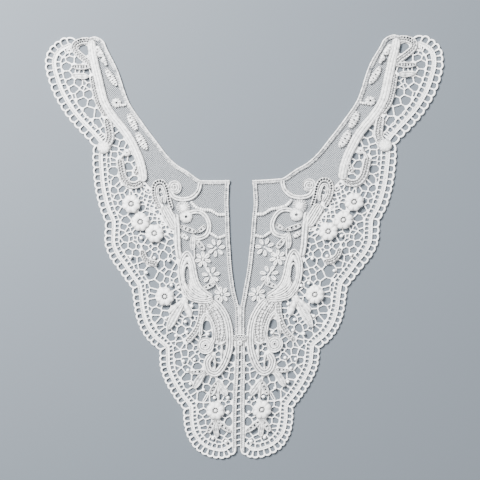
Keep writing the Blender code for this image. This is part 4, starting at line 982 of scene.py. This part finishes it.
def pit(s, t, pitch, rows, stagger):
    """Evenly spaced pits between rows + 1 cords, each row a stagger further on: 1 in the middle of a
    pit and 0 on the cords, falling with the squares of both distances from its middle."""
    lane = (t + 1) / 2 * (rows + 1)
    row = np.clip(np.round(lane), 1, rows)
    off_lane = (lane - row) / (0.6 if rows == 1 else 0.5)
    off_step = (((s / pitch + stagger * row) % 1) - 0.5) * pitch / PIT_REACH
    return np.clip(2.4 * (1.1 - off_lane ** 2 - off_step ** 2), 0, 1)


def satin(columns):
    """Satin stitch: a crown with slanting floats across, and grooves that part it into columns."""
    def relief(s, t):
        floats = 0.94 + 0.06 * np.cos(2 * math.pi * (s - 0.6 * t) / SATIN_FLOATS)
        grooves = 0.24 * (1 - bead((t + 1) / 2 * columns)) * (np.abs(t) < 0.8)
        return (0.35 + 0.65 * crown(t)) * floats - grooves
    return relief


def corded(count):
    """Cords side by side: beads across, each with a twist along it."""
    def relief(s, t):
        lane = (t + 1) / 2 * count
        twist = np.cos(2 * math.pi * (s / CORD_TWIST + 0.37 * np.floor(lane)))
        return 0.3 + (0.62 + 0.08 * twist) * bead(lane) ** 1.6
    return relief


def pitted(pitch, depth, stagger=0.5):
    """Rows of pits between cords: the cords' relief times 1 - depth * pit."""
    def finish(rows):
        return lambda s, t: (corded(rows + 1)(s, t)
                             * (1 - depth * pit(s, t, pitch, rows, stagger)))
    return finish


def fuzzy(rows):
    """Tufts across, deepest at the edges, and pinholes down the middle where rows isn't 0."""
    def relief(s, t):
        tuft = 0.35 + 0.65 * crown(t) * (0.5 + 0.5 * teeth(s, TUFT))
        if not rows:
            return tuft
        pitch, shift = TUFT_HOLES
        step = ((s + shift) / pitch) % 1 - 0.5
        hole = np.clip(1.3 - (t / 0.3) ** 2 - (step / 0.16) ** 2, 0, 1)
        return tuft * (1 - 0.9 * hole)
    return relief


FINISHES = {"satin": satin, "corded": corded, "dotted": pitted(DOTS, 0.95),
            "ladder": pitted(RUNGS, 0.97, 0.0), "eyelets": pitted(EYELETS, 0.97), "fuzzy": fuzzy}


def leafy(kind, count):
    """Leaves: a raised rim cord round a lower field with slanting ribs and a midrib, and in some
    kinds a row of so many holes down the middle."""
    def relief(s, t):
        rim = np.clip((np.abs(t) - 0.5) / 0.25, 0, 1)
        ribs = np.cos(2 * math.pi * (s - 1.1 * np.abs(t)) / LEAF_RIBS)
        field = 0.62 + 0.1 * ribs + 0.16 * (np.abs(t) < 0.16)
        if kind in LEAF_HOLES:
            long, wide = LEAF_HOLES[kind]
            share = s / s.max()
            off = (share * (count + 1)) % 1 - 0.5
            inside = (share > 0.5 / (count + 1)) & (share < 1 - 0.5 / (count + 1))
            hole = np.clip(2.2 * (1.15 - (off / long) ** 2 - (t / wide) ** 2), 0, 1)
            field = field * (1 - 0.9 * hole * inside)
        return field * (1 - rim) + rim * (0.45 + 0.5 * bead((np.abs(t) - 0.42) / 0.6))
    return relief


def round_relief(kind, count):
    """Discs: a spiral, rings, a hatched rim, a pinhole or rays on a dome, or a plain dome."""
    def relief(r, angle):
        dome = 0.4 + 0.6 * np.sqrt(np.clip(1 - r ** 2, 0.0, 1))
        if kind == "swirl":
            turn = r * count * 1.5 - angle / (2 * math.pi)
            return 0.22 + 0.73 * bead(turn) ** 1.4 * (0.9 + 0.1 * np.cos(22 * angle))
        if kind == "rings":
            return np.where(r < 0.16, PINHOLE_FLOOR, 0.25 + 0.7 * bead(r * (count + 0.5)) ** 1.4)
        if kind == "hatched":
            edge = np.clip((r - 0.3) / 0.3, 0, 1)
            return dome * (1 - 0.5 * edge * np.cos(count * angle / 2) ** 2)
        if kind == "eye":
            return np.where(r < max(count, 0.2), PINHOLE_FLOOR, dome)
        if kind == "star":
            rays = 0.8 + 0.2 * np.cos(count * angle)
            return np.where(r < 0.22, PINHOLE_FLOOR, 0.5 + 0.4 * np.sqrt(1.01 - r ** 2) * rays)
        return dome
    return relief


def rosette_relief(r, angle):
    """A padded rosette: a lobed rim, a broad dome with fine rays, a sunk ring and a pearl."""
    dome = 0.3 + 0.7 * np.sin(math.pi * np.clip((1.08 - r) / 1.02, 0, 1)) ** 0.6
    rays = 0.035 * np.abs(np.cos(17 * angle)) + 0.16 * np.abs(np.cos(4 * angle)) ** 6 * r ** 2
    hollow = np.clip(1.2 - ((r - 0.26) / 0.075) ** 2, 0, 1) * (0.75 + 0.25 * np.cos(7 * angle))
    pearl = 0.5 + 0.42 * np.sqrt(np.clip(1 - (r / 0.19) ** 2, 0, 1))
    return np.where(r < 0.19, pearl, dome * (1 - rays * (r > 0.34)) * (1 - 0.85 * hollow))


def edge_relief(s, t):
    """The edge band: fine slanting ribs across, deepest along the middle."""
    ribs = 0.2 + 0.5 * (1 - teeth(s + 0.5 * t, EDGE_RIBS))
    return 0.92 - ribs * np.clip(1.15 - t ** 2 * 1.6, 0, 1)


def neck_relief(s, t):
    """The neck braid: a smooth outer cord, and short slanting ribs inside it."""
    cord = 0.55 + 0.45 * bead(np.clip((t + 1) / 0.75, 0, 0.999))
    ribs = 0.34 + 0.42 * crown(t) * (0.35 + 0.65 * teeth(s + 0.8 * t, NECK_RIBS))
    return np.where(t < -0.25, cord, ribs)


def front_relief(s, t):
    """The front braid: two cords with a hatched groove between them."""
    cord = bead(np.clip((1 - np.abs(t)) / 0.62, 0, 0.999))
    cord = 0.42 + 0.55 * cord * (0.8 + 0.2 * teeth(s, FRONT_RIBS[0]))
    return np.where(np.abs(t) > 0.38, cord, 0.3 + 0.4 * teeth(s, FRONT_RIBS[1]))


# Satin shapes

def lay_disc(work, shape, base, top):
    """A round boss; a star's rim is lobed like its rays."""
    centre, radius = on_chart(shape.centre)[0], shape.radius * CELL
    lobes = STAR_LOBES if shape.finish == "star" else 0.0
    spokes = FINE_SPOKES if shape.finish == "hatched" else SPOKES
    disc(work, centre, lambda angle: radius * (1 + lobes * np.cos(shape.count * angle)), base, top,
         round_relief(shape.finish, shape.count), spokes=spokes)


def lay_tape(work, shape, base, top):
    """A tape with round ends: its half width follows a circle over the last half width."""
    path = curve(shape.knots, TAPE_STEP)
    run = np.linspace(0, 1, len(path)) * TAPE_STEP * (len(path) - 1)
    half = shape.wide * CELL / 2
    into = np.clip(np.minimum(run, run[-1] - run) / half, 0, 1)
    width = half * np.sqrt(np.clip(1 - (1 - into) ** 2, 0.02, 1))
    if shape.finish == "fuzzy":
        width = width * (0.7 + 0.42 * teeth(run, TUFT))
    across = CORD_ROWS + CORD_ROWS * max(1, shape.count + 1)
    ribbon(work, path, width, base, top, FINISHES[shape.finish](shape.count), across)


def lay_leaf(work, shape, base, top):
    """A leaf: its half width goes as sin(pi share^lean)^0.42 and its spine bends as sin(pi share)."""
    start, end = on_chart((shape.start, shape.end))
    length = float(np.linalg.norm(end - start))
    share = np.linspace(0, 1, int(length / LEAF_STEP) + 1)
    bend = np.array([-(end - start)[1], (end - start)[0]]) * LEAF_BEND
    path = start + (end - start) * share[:, None] + bend * np.sin(math.pi * share)[:, None]
    lean = 1 if shape.finish in ("fuzzy", "slotted") else LEAF_LEAN
    swell = np.clip(np.sin(math.pi * share ** lean), 0.001, 1) ** LEAF_ROUND
    width = shape.wide * CELL / 2 * swell
    if shape.finish == "fuzzy":
        width = width * (0.78 + 0.32 * teeth(share * length, TUFT)) + 0.05
    if shape.finish in FINISHES:
        finish = FINISHES[shape.finish](shape.count)
    else:
        finish = leafy(shape.finish, shape.count)
    ribbon(work, path, np.maximum(width, LEAF_TIP), base, top, finish, LEAF_ROWS)


LAY_SHAPE = {Disc: lay_disc, Tape: lay_tape, Leaf: lay_leaf}


# Laying the halves

def lay(points, side):
    """Lay one half on the table: x to the right, y up, about the centre front."""
    reach, height = points[:, 0], points[:, 1]
    if side < 0:
        return np.column_stack([-reach, height])
    rows = [entry.row for entry in RIGHT_LAY]
    spread = np.interp(-height / CELL, rows, [entry.spread for entry in RIGHT_LAY])
    draw = np.interp(-height / CELL, rows, [entry.draw for entry in RIGHT_LAY]) * CELL
    draw = draw * np.clip(1 - reach / (DRAW_FADES * CELL), 0, 1)
    lifted = np.clip((reach / CELL - LIFT_STARTS) / (LIFT_WHOLE - LIFT_STARTS), 0, 1)
    return np.column_stack([reach * (1 + spread) - draw, height + lifted * RIGHT_LIFT * CELL])


seat = [sum(pair) / 2 * 1000 for pair in zip(*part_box("rosette_upper_left"))][:2]
SHIFT = np.array(seat) - lay(on_chart_all(ROSETTES), -1)[0]


# The pieces of the drawn half. Each function returns a piece's work.

def ring_cords(work, rings, radius):
    """A cord round each ring; each lies a little higher or lower than its neighbours."""
    rings = grown(np.array(rings), radius)
    lift = (np.arange(len(rings)) * GOLDEN % 1 * LOOSE)[:, None, None]
    heights = np.reshape(radius, (1, -1, 1)) + CLEAR + lift
    heights = np.broadcast_to(heights, rings.shape[:2] + (1,))
    cords(work, np.concatenate([rings, heights], axis=-1), radius, closed=True)


def bar_work(ladder_rings, outward, inner_rings, gaps):
    """Cords round all openings, and picots, each on a stem from the nearest bar."""
    work = Work()
    ring_cords(work, ladder_rings, EDGE_CORD[0] + (EDGE_CORD[1] - EDGE_CORD[0]) * outward)
    ring_cords(work, inner_rings, INNER_CORD)
    ring_cords(work, gaps, CORD)
    picots, bars = on_chart(PICOTS), np.vstack(gaps)
    held = np.array([bars[np.argmin(np.linalg.norm(bars - spot, axis=1))] for spot in picots])
    stems = np.stack([picots, (picots + held) / 2, held + (held - picots) * PICOT_LAP], axis=1)
    cords(work, at_height(stems, PICOT_STEM[1]), PICOT_STEM[0])
    balls(work, at_height(picots, PICOT[1]), PICOT[0])
    return work


def edging_work(band):
    """The ribbed band between the two ladders."""
    work = Work()
    ribbon(work, band[:, :2], band[:, 2] + BAND_LAP, BAND_BASE, BAND_TOP, edge_relief, BAND_ROWS)
    return work


def ground_work(outer, openings):
    """The felted backing of the bars, a sheet with its flat outline and area."""
    work = Work()
    plate(work, outer, list(grown(np.array(openings), PLATE_EASE)), *PLATE)
    work.outer = outer
    work.area = abs(signed_area(outer)) - sum(abs(signed_area(ring)) for ring in openings)
    return work


def net_work(neck, front, seam):
    """Straight threads in two crossing families at 45 degrees, a pitch apart, each cut where it
    crosses the outline; a sheet with its flat outline and area."""
    above = front[front[:, 1] >= seam[-1, 1]]
    outline = np.vstack([neck + sideways(neck) * NET_HEM, above, seam[::-1]])
    start, end = outline, np.roll(outline, -1, axis=0)
    threads = []
    for slope, height in zip((1, -1), NET_HEIGHTS):
        along = np.array([1, slope]) / math.sqrt(2)
        normal = np.array([-along[1], along[0]])
        low, high = start @ normal, end @ normal
        for level in np.arange(low.min(), low.max(), NET_PITCH):
            crossing = (low < level) != (high < level)
            share = (level - low[crossing]) / (high[crossing] - low[crossing])
            at = np.sort((start[crossing] + (end - start)[crossing] * share[:, None]) @ along)
            for ends in zip(at[::2], at[1::2]):
                if ends[1] - ends[0] > SHORTEST_THREAD:
                    line = np.array(ends)[:, None] * along + normal * level
                    threads.append(at_height(line, height))
    work = Work()
    cords(work, np.array(threads), NET_THREAD / 2, crush=1.25, drawn=1.0)
    work.area, work.outer = abs(signed_area(outline)), outline
    return work


def neck_work(neck):
    """The corded braid along the arm's end and the neckline."""
    work = Work()
    ribbon(work, neck + sideways(neck) * NECK_BRAID / 2, NECK_BRAID / 2 * NECK_FIT, CLEAR,
           NECK_TOP, neck_relief, BRAID_ROWS)
    return work


def front_work(front):
    """The corded braid along the slit and the centre front."""
    work = Work()
    ribbon(work, front, FRONT_BRAID_WIDE / 2, CLEAR, FRONT_TOP, front_relief, BRAID_ROWS)
    return work


def motif_work(motif):
    """All satin shapes of a motif, at three heights in turn."""
    work = Work()
    on_ground = motif.layer == "ground"
    base, top = (GROUND_BASE, GROUND_TOP) if on_ground else (NET_BASE, NET_TOP)
    for order, shape in enumerate(motif.shapes):
        LAY_SHAPE[type(shape)](work, shape, base, top - SHAPE_STEP * (order % 3))
    return work


def petal_rings():
    """The cord loops of the petals, which are drops: a loop widens towards its far end."""
    turn = np.arange(PETAL_POINTS) * 2 * math.pi / PETAL_POINTS
    wide = np.sin(turn) * (0.8 + 0.25 * np.cos(turn))
    rings = []
    for daisy, centre in zip(DAISIES, on_chart_all(DAISIES)):
        for index in range(DAISY_PETALS):
            angle = math.radians(daisy.turn) + index * 2 * math.pi / DAISY_PETALS
            ahead = np.array([math.cos(angle), math.sin(angle)])
            across = np.array([-ahead[1], ahead[0]])
            middle = centre + ahead * (daisy.reach * CELL - PETAL_LONG / 2 - PETAL_HOLD)
            rings.append(middle + np.outer(np.cos(turn), ahead) * PETAL_LONG / 2
                         + np.outer(wide, across) * PETAL_WIDE / 2)
    return np.array(rings)


def daisy_work():
    """Daisies on one stalk: petals with a lower loop inside each, and pearls in the middle."""
    work = Work()
    petals = petal_rings()
    cords(work, at_height(petals, PETAL_CORD[1]), PETAL_CORD[0], closed=True)
    middles = petals.mean(axis=1, keepdims=True)
    filling = middles + (petals - middles) * FILLING_SHARE
    cords(work, at_height(filling, FILLING_CORD[1]), FILLING_CORD[0], closed=True,
          crush=FILLING_CRUSH)
    balls(work, at_height(on_chart_all(DAISIES), DAISY_EYE[1]), DAISY_EYE[0])
    stalk = curve([(daisy.col, daisy.row) for daisy in DAISIES])
    cords(work, at_height(stalk, DAISY_STALK[1])[None], DAISY_STALK[0])
    return work


def rosette_work(row):
    """A padded rose with eight shallow lobes round its rim: 1 - 0.1 |cos(4 angle)|^4."""
    work = Work()
    disc(work, on_chart((row.col, row.row))[0],
         lambda angle: ROSETTE[0] * (1 - 0.1 * np.abs(np.cos(4 * angle)) ** 4), *ROSETTE[1:],
         rosette_relief, rings=ROSETTE_RINGS, spokes=FINE_SPOKES)
    return work


def build():
    """Every piece of the drawn half by name, as (work, finish, CAD piece)."""
    neck, front, seam = curve(NECK_EDGE), curve(FRONT_BRAID), curve(NET_SEAM)
    ladder_rings, outward = ladder_cells(True, EDGE_CORD[0])
    inner_rings, _ = ladder_cells(False, INNER_CORD)
    band = along_band()
    below = front[front[:, 1] < seam[-1, 1]]
    outer = np.vstack([band[::2, :2], below[::-1][::4], seam[::-1][::2]])
    gaps = ground_gaps(inner_rings, outer, seam, front)
    bars = bar_work(ladder_rings, outward, inner_rings, gaps)
    pieces = {
        "bars": (bars, "bar_thread", "lace_ground"),
        "edging": (edging_work(band), "bar_thread", "lace_ground"),
        "ground": (ground_work(outer, inner_rings + gaps), "bar_thread", "lace_ground"),
        "net": (net_work(neck, front, seam), "net_thread", "net_yoke"),
        "neck_cord": (neck_work(neck), "braid_cord", "neck_braid"),
        "front_cord": (front_work(front), "braid_cord", "front_braid")}
    for motif in MOTIFS:
        pieces[motif.name + "_work"] = (motif_work(motif), "satin_thread", motif.name)
    pieces["daisies"] = (daisy_work(), "satin_thread", "daisy_spray")
    for row in ROSETTES:
        pieces[row.name + "_pad"] = (rosette_work(row), "padded_satin", row.name)
    return pieces


# The pieces across the centre front, drawn in the left half's frame

def rung_work():
    """Bars across the closed front, from one front braid to the other."""
    knot_cols, knot_rows = np.transpose(FRONT_BRAID)
    bars = []
    for row in FRONT_RUNG_ROWS:
        left = np.interp(row, knot_rows, knot_cols)
        ends = on_chart(((left, row), (left, row - FRONT_RUNG_RISE)))
        line = np.vstack([lay(ends[:1], -1), lay(ends[1:], 1)])
        line[:, 0] *= -1
        bars.append(evenly(line, count=RUNG_POINTS))
    work = Work()
    cords(work, at_height(np.array(bars), RUNG_HEIGHT), RUNG_CORD)
    return work


def closing_work():
    """The narrow band that closes the front between the slit and the tie."""
    work = Work()
    band = evenly(on_chart(FRONT_BAND), step=FRONT_BAND_STEP)
    ribbon(work, band, FRONT_BAND_WIDE / 2, *FRONT_BAND_HEIGHTS, satin(2), FRONT_BAND_ROWS)
    return work


def tie_work():
    """The tie's wrapped bar, with round ends, and the ring of its knot below it."""
    work = Work()
    x, y = on_chart(TIE_AT)[0]
    base, top = TIE_HEIGHTS
    line = np.array([(x - TIE_SIZE[0] / 2, y), (x + TIE_SIZE[0] / 2, y)])
    line = evenly(line, step=TIE_STEP)
    swell = np.clip(np.sin(np.linspace(0, math.pi, len(line))), 0.3, 1)
    ribbon(work, line, TIE_SIZE[1] / 2 * np.sqrt(swell), base, top, FINISHES["dotted"](3),
           TIE_ROWS)
    radius, knot_top, pinhole = TIE_KNOT
    disc(work, (x + TIE_KNOT_AT[0], y + TIE_KNOT_AT[1]), lambda angle: np.full(len(angle), radius),
         base, knot_top, round_relief("eye", pinhole), rings=8, spokes=24)
    return work


# Finishes

def linear(code):
    """An sRGB hex colour as linear light: c/12.92 up to 0.04045, else ((c + 0.055)/1.055)^2.4."""
    values = [int(code[i:i + 2], 16) / 255 for i in (1, 3, 5)]
    return tuple(v / 12.92 if v <= 0.04045 else ((v + 0.055) / 1.055) ** 2.4 for v in values) + (1.0,)


def add_node(tree, kind, settings=(), **links):
    """Add a node, set its properties, and set its inputs or link other nodes' outputs to them. An
    input goes by its name, with _ for a space, or by i and its number."""
    node = tree.nodes.new(kind)
    for key, value in dict(settings).items():
        setattr(node, key, value)
    for key, value in links.items():
        numbered = key[0] == "i" and key[1:].isdigit()
        socket = node.inputs[int(key[1:]) if numbered else key.replace("_", " ")]
        if hasattr(value, "is_output"):
            tree.links.new(value, socket)
        else:
            socket.default_value = value
    return node


def thread_tone(tree, relief, place, row):
    """The thread's colour: pale crests over grooves greyed with painted shade, drifting a little in
    tone.
    Grain darkens the gaps between bundles of stitches, and little light gets down into a pinhole."""
    where = add_node(tree, "ShaderNodeTexCoord")
    drift = add_node(tree, "ShaderNodeTexNoise", Vector=where.outputs["Object"],
                     Scale=DRIFT_SCALE, Detail=3.0)
    laid = add_node(tree, "ShaderNodeMapping", Vector=place, Scale=BUNDLE_SCALE)
    bundles = add_node(tree, "ShaderNodeTexVoronoi", {"feature": "F1"},
                       Vector=laid.outputs["Vector"], Scale=1.0)
    # painted shade: low relief greys the grooves and walls, and the grain darkens the gaps between
    # bundles
    groove_shade_and_grain = add_node(tree, "ShaderNodeMath", {"operation": "MULTIPLY_ADD"},
                    i0=bundles.outputs["Distance"], i1=-row.grain, i2=relief)
    tone = add_node(tree, "ShaderNodeMapRange", Value=groove_shade_and_grain.outputs["Value"], i1=0.12, i2=0.92)
    dirt = add_node(tree, "ShaderNodeMath", {"operation": "MULTIPLY_ADD"},
                    i0=drift.outputs["Fac"], i1=DRIFT, i2=-DRIFT / 2)
    lit = add_node(tree, "ShaderNodeMath", {"operation": "ADD", "use_clamp": True},
                   i0=tone.outputs["Result"], i1=dirt.outputs["Value"])
    colour = add_node(tree, "ShaderNodeMix", {"data_type": "RGBA"}, i0=lit.outputs["Value"],
                      i6=linear(row.groove), i7=linear(row.crest))
    deep = add_node(tree, "ShaderNodeMapRange", Value=relief, i1=DARK_BELOW[0], i2=DARK_BELOW[1],
                    i3=1.0, i4=0.0)
    shaded = add_node(tree, "ShaderNodeMix", {"data_type": "RGBA"}, i0=deep.outputs["Result"],
                      i6=colour.outputs[2], i7=linear(PINHOLE))
    return shaded.outputs[2]


def thread(row):
    """Embroidery thread with stitches a fraction of a millimetre apart that slant by the twist."""
    material = bpy.data.materials.new(row.name)
    material.use_nodes = True
    tree = material.node_tree
    surface = tree.nodes["Principled BSDF"]
    place = add_node(tree, "ShaderNodeUVMap", {"uv_map": "thread"}).outputs["UV"]
    relief = add_node(tree, "ShaderNodeAttribute", {"attribute_name": "crest"}).outputs["Fac"]
    tree.links.new(thread_tone(tree, relief, place, row), surface.inputs["Base Color"])
    turned = add_node(tree, "ShaderNodeMapping", Vector=place, Rotation=(0, 0, row.twist))
    strands = add_node(tree, "ShaderNodeTexWave", {"wave_profile": "SIN"},
                       Vector=turned.outputs["Vector"], Scale=math.pi / (10 * row.stitch),
                       Distortion=0.6, Detail=1.0)
    bump = add_node(tree, "ShaderNodeBump", Strength=row.depth, Distance=STRAND_DEPTH,
                    Height=strands.outputs["Fac"])
    tree.links.new(bump.outputs["Normal"], surface.inputs["Normal"])
    surface.inputs["Roughness"].default_value = row.roughness
    surface.inputs["Sheen Weight"].default_value = row.sheen
    surface.inputs["Sheen Roughness"].default_value = SHEEN_ROUGHNESS
    surface.inputs["IOR"].default_value = RAYON_IOR
    return material


def plain(name, code, roughness):
    """A smooth matt surface."""
    material = bpy.data.materials.new(name)
    material.use_nodes = True
    surface = material.node_tree.nodes["Principled BSDF"]
    surface.inputs["Base Color"].default_value = linear(code)
    surface.inputs["Roughness"].default_value = roughness
    return material


# Stitches lie so many millimetres apart and slant by so many radians
# crest is the thread's own white; groove is painted shade, which the relief mixes in at grooves, walls
# and undersides
THREADS = table(
    "slot name crest groove roughness stitch twist depth sheen grain",
    # twisted rayon bars: dull white, lightly corded
    ("bar_thread", "white_bar_thread", "#FAF9F7", "#6E7276", 0.6, 0.45, 0.9, 0.5, 0.15, 0.22),
    # fine even net thread: thin, greyer against the table
    ("net_thread", "white_net_thread", "#B0B3B6", "#A6A9AC", 0.7, 0.3, 0.7, 0.2, 0.1, 0.0),
    # braid cord: brighter and rounder
    ("braid_cord", "white_braid_cord", "#FAF9F7", "#5C6064", 0.55, 0.4, 1.1, 0.5, 0.2, 0.55),
    # satin stitch: shiny long floats that lie across the tape
    ("satin_thread", "white_satin_thread", "#FCFBF9", "#55595D", 0.42, 0.35, 0.0, 0.35, 0.25, 0.45),
    # padded satin of the rosettes: the smoothest
    ("padded_satin", "white_padded_satin", "#FDFCFA", "#505458", 0.4, 0.4, 0.0, 0.3, 0.25, 0.3),
    # the tie's wrapping: even and a little greyer
    ("tie_thread", "white_tie_thread", "#F4F3F0", "#9DA0A4", 0.5, 0.4, 0.0, 0.4, 0.2, 0.3))
FINISH = {row.slot: thread(row) for row in THREADS}


# Assembly

def hand_over(piece, nodes):
    """Give a finished piece to the frame, in place of the solids it shows."""
    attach(piece, "root")
    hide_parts(*nodes)


def least_rectangle(points):
    """(width, length) in metres of the smallest rectangle round the points, by turning them."""
    best = None
    for angle in np.radians(np.arange(0, 90, 1)):
        turn = [[math.cos(angle), -math.sin(angle)], [math.sin(angle), math.cos(angle)]]
        size = np.sort(np.ptp(points @ np.array(turn), axis=0))
        if best is None or size.prod() < best.prod():
            best = size
    return float(best[0] / 1000), float(best[1] / 1000)


def area_light(name, place, size, power):
    """A square lamp that faces the middle of the table."""
    lamp = bpy.data.lights.new(name, "AREA")
    lamp.size, lamp.energy = size, power
    piece = bpy.data.objects.new(name, lamp)
    piece.location = place
    piece.rotation_euler = (-Vector(place)).to_track_quat("-Z", "Y").to_euler()
    bpy.context.scene.collection.objects.link(piece)


works = build()
for side_name, side in SIDES.items():
    for name, (work, slot, node) in works.items():
        piece = work.object(f"{name}_{side_name}", side, FINISH[slot])
        hand_over(piece, [f"{node}_{side_name}"])

# Each half's pieces grouped by the sheet they are sewn on, the bar ground or the net; the smallest
# rectangle round each sheet's outline is worked out but not used
SHEETS = {"ground": ["bars", "edging"] + [row.name + "_pad" for row in ROSETTES],
          "net": ["neck_cord", "front_cord", "daisies"]}
for motif in MOTIFS:
    SHEETS[motif.layer].append(motif.name + "_work")
for side_name in SIDES:
    for name, sewn in SHEETS.items():
        work = works[name][0]
        least_rectangle(work.outer)

for name, work, slot, node in (
        ("front_rungs", rung_work(), "bar_thread", "front_braid_left"),
        ("front_band", closing_work(), "braid_cord", "front_braid_left"),
        ("tie_wrap", tie_work(), "tie_thread", "front_tie")):
    hand_over(work.object(name, -1, FINISH[slot]), [node])

# Table, light and camera. The table is matt grey laminate, even and without a pattern.
bpy.ops.mesh.primitive_plane_add(size=FLOOR_SIZE, location=(0, 0, 0))
floor = bpy.context.object
floor.name = "table_top"
floor.data.materials.append(plain("matt_laminate", FLOOR_COLOUR, 0.7))

centre = lay(on_chart(PICTURE_MIDDLE), -1)[0] + SHIFT
camera = bpy.data.objects.new("camera", bpy.data.cameras.new("camera"))
camera.data.lens, camera.data.sensor_width = LENS, SENSOR
camera.location = (centre[0] / 1000, centre[1] / 1000, PICTURE * CELL / 1000 * LENS / SENSOR)
bpy.context.scene.collection.objects.link(camera)
bpy.context.scene.camera = camera

area_light("key", *KEY_LIGHT)
area_light("fill", *FILL_LIGHT)
world = bpy.data.worlds.new("studio")
world.use_nodes = True
sky = world.node_tree.nodes["Background"]
sky.inputs["Color"].default_value = SKY
sky.inputs["Strength"].default_value = SKY_STRENGTH
bpy.context.scene.world = world
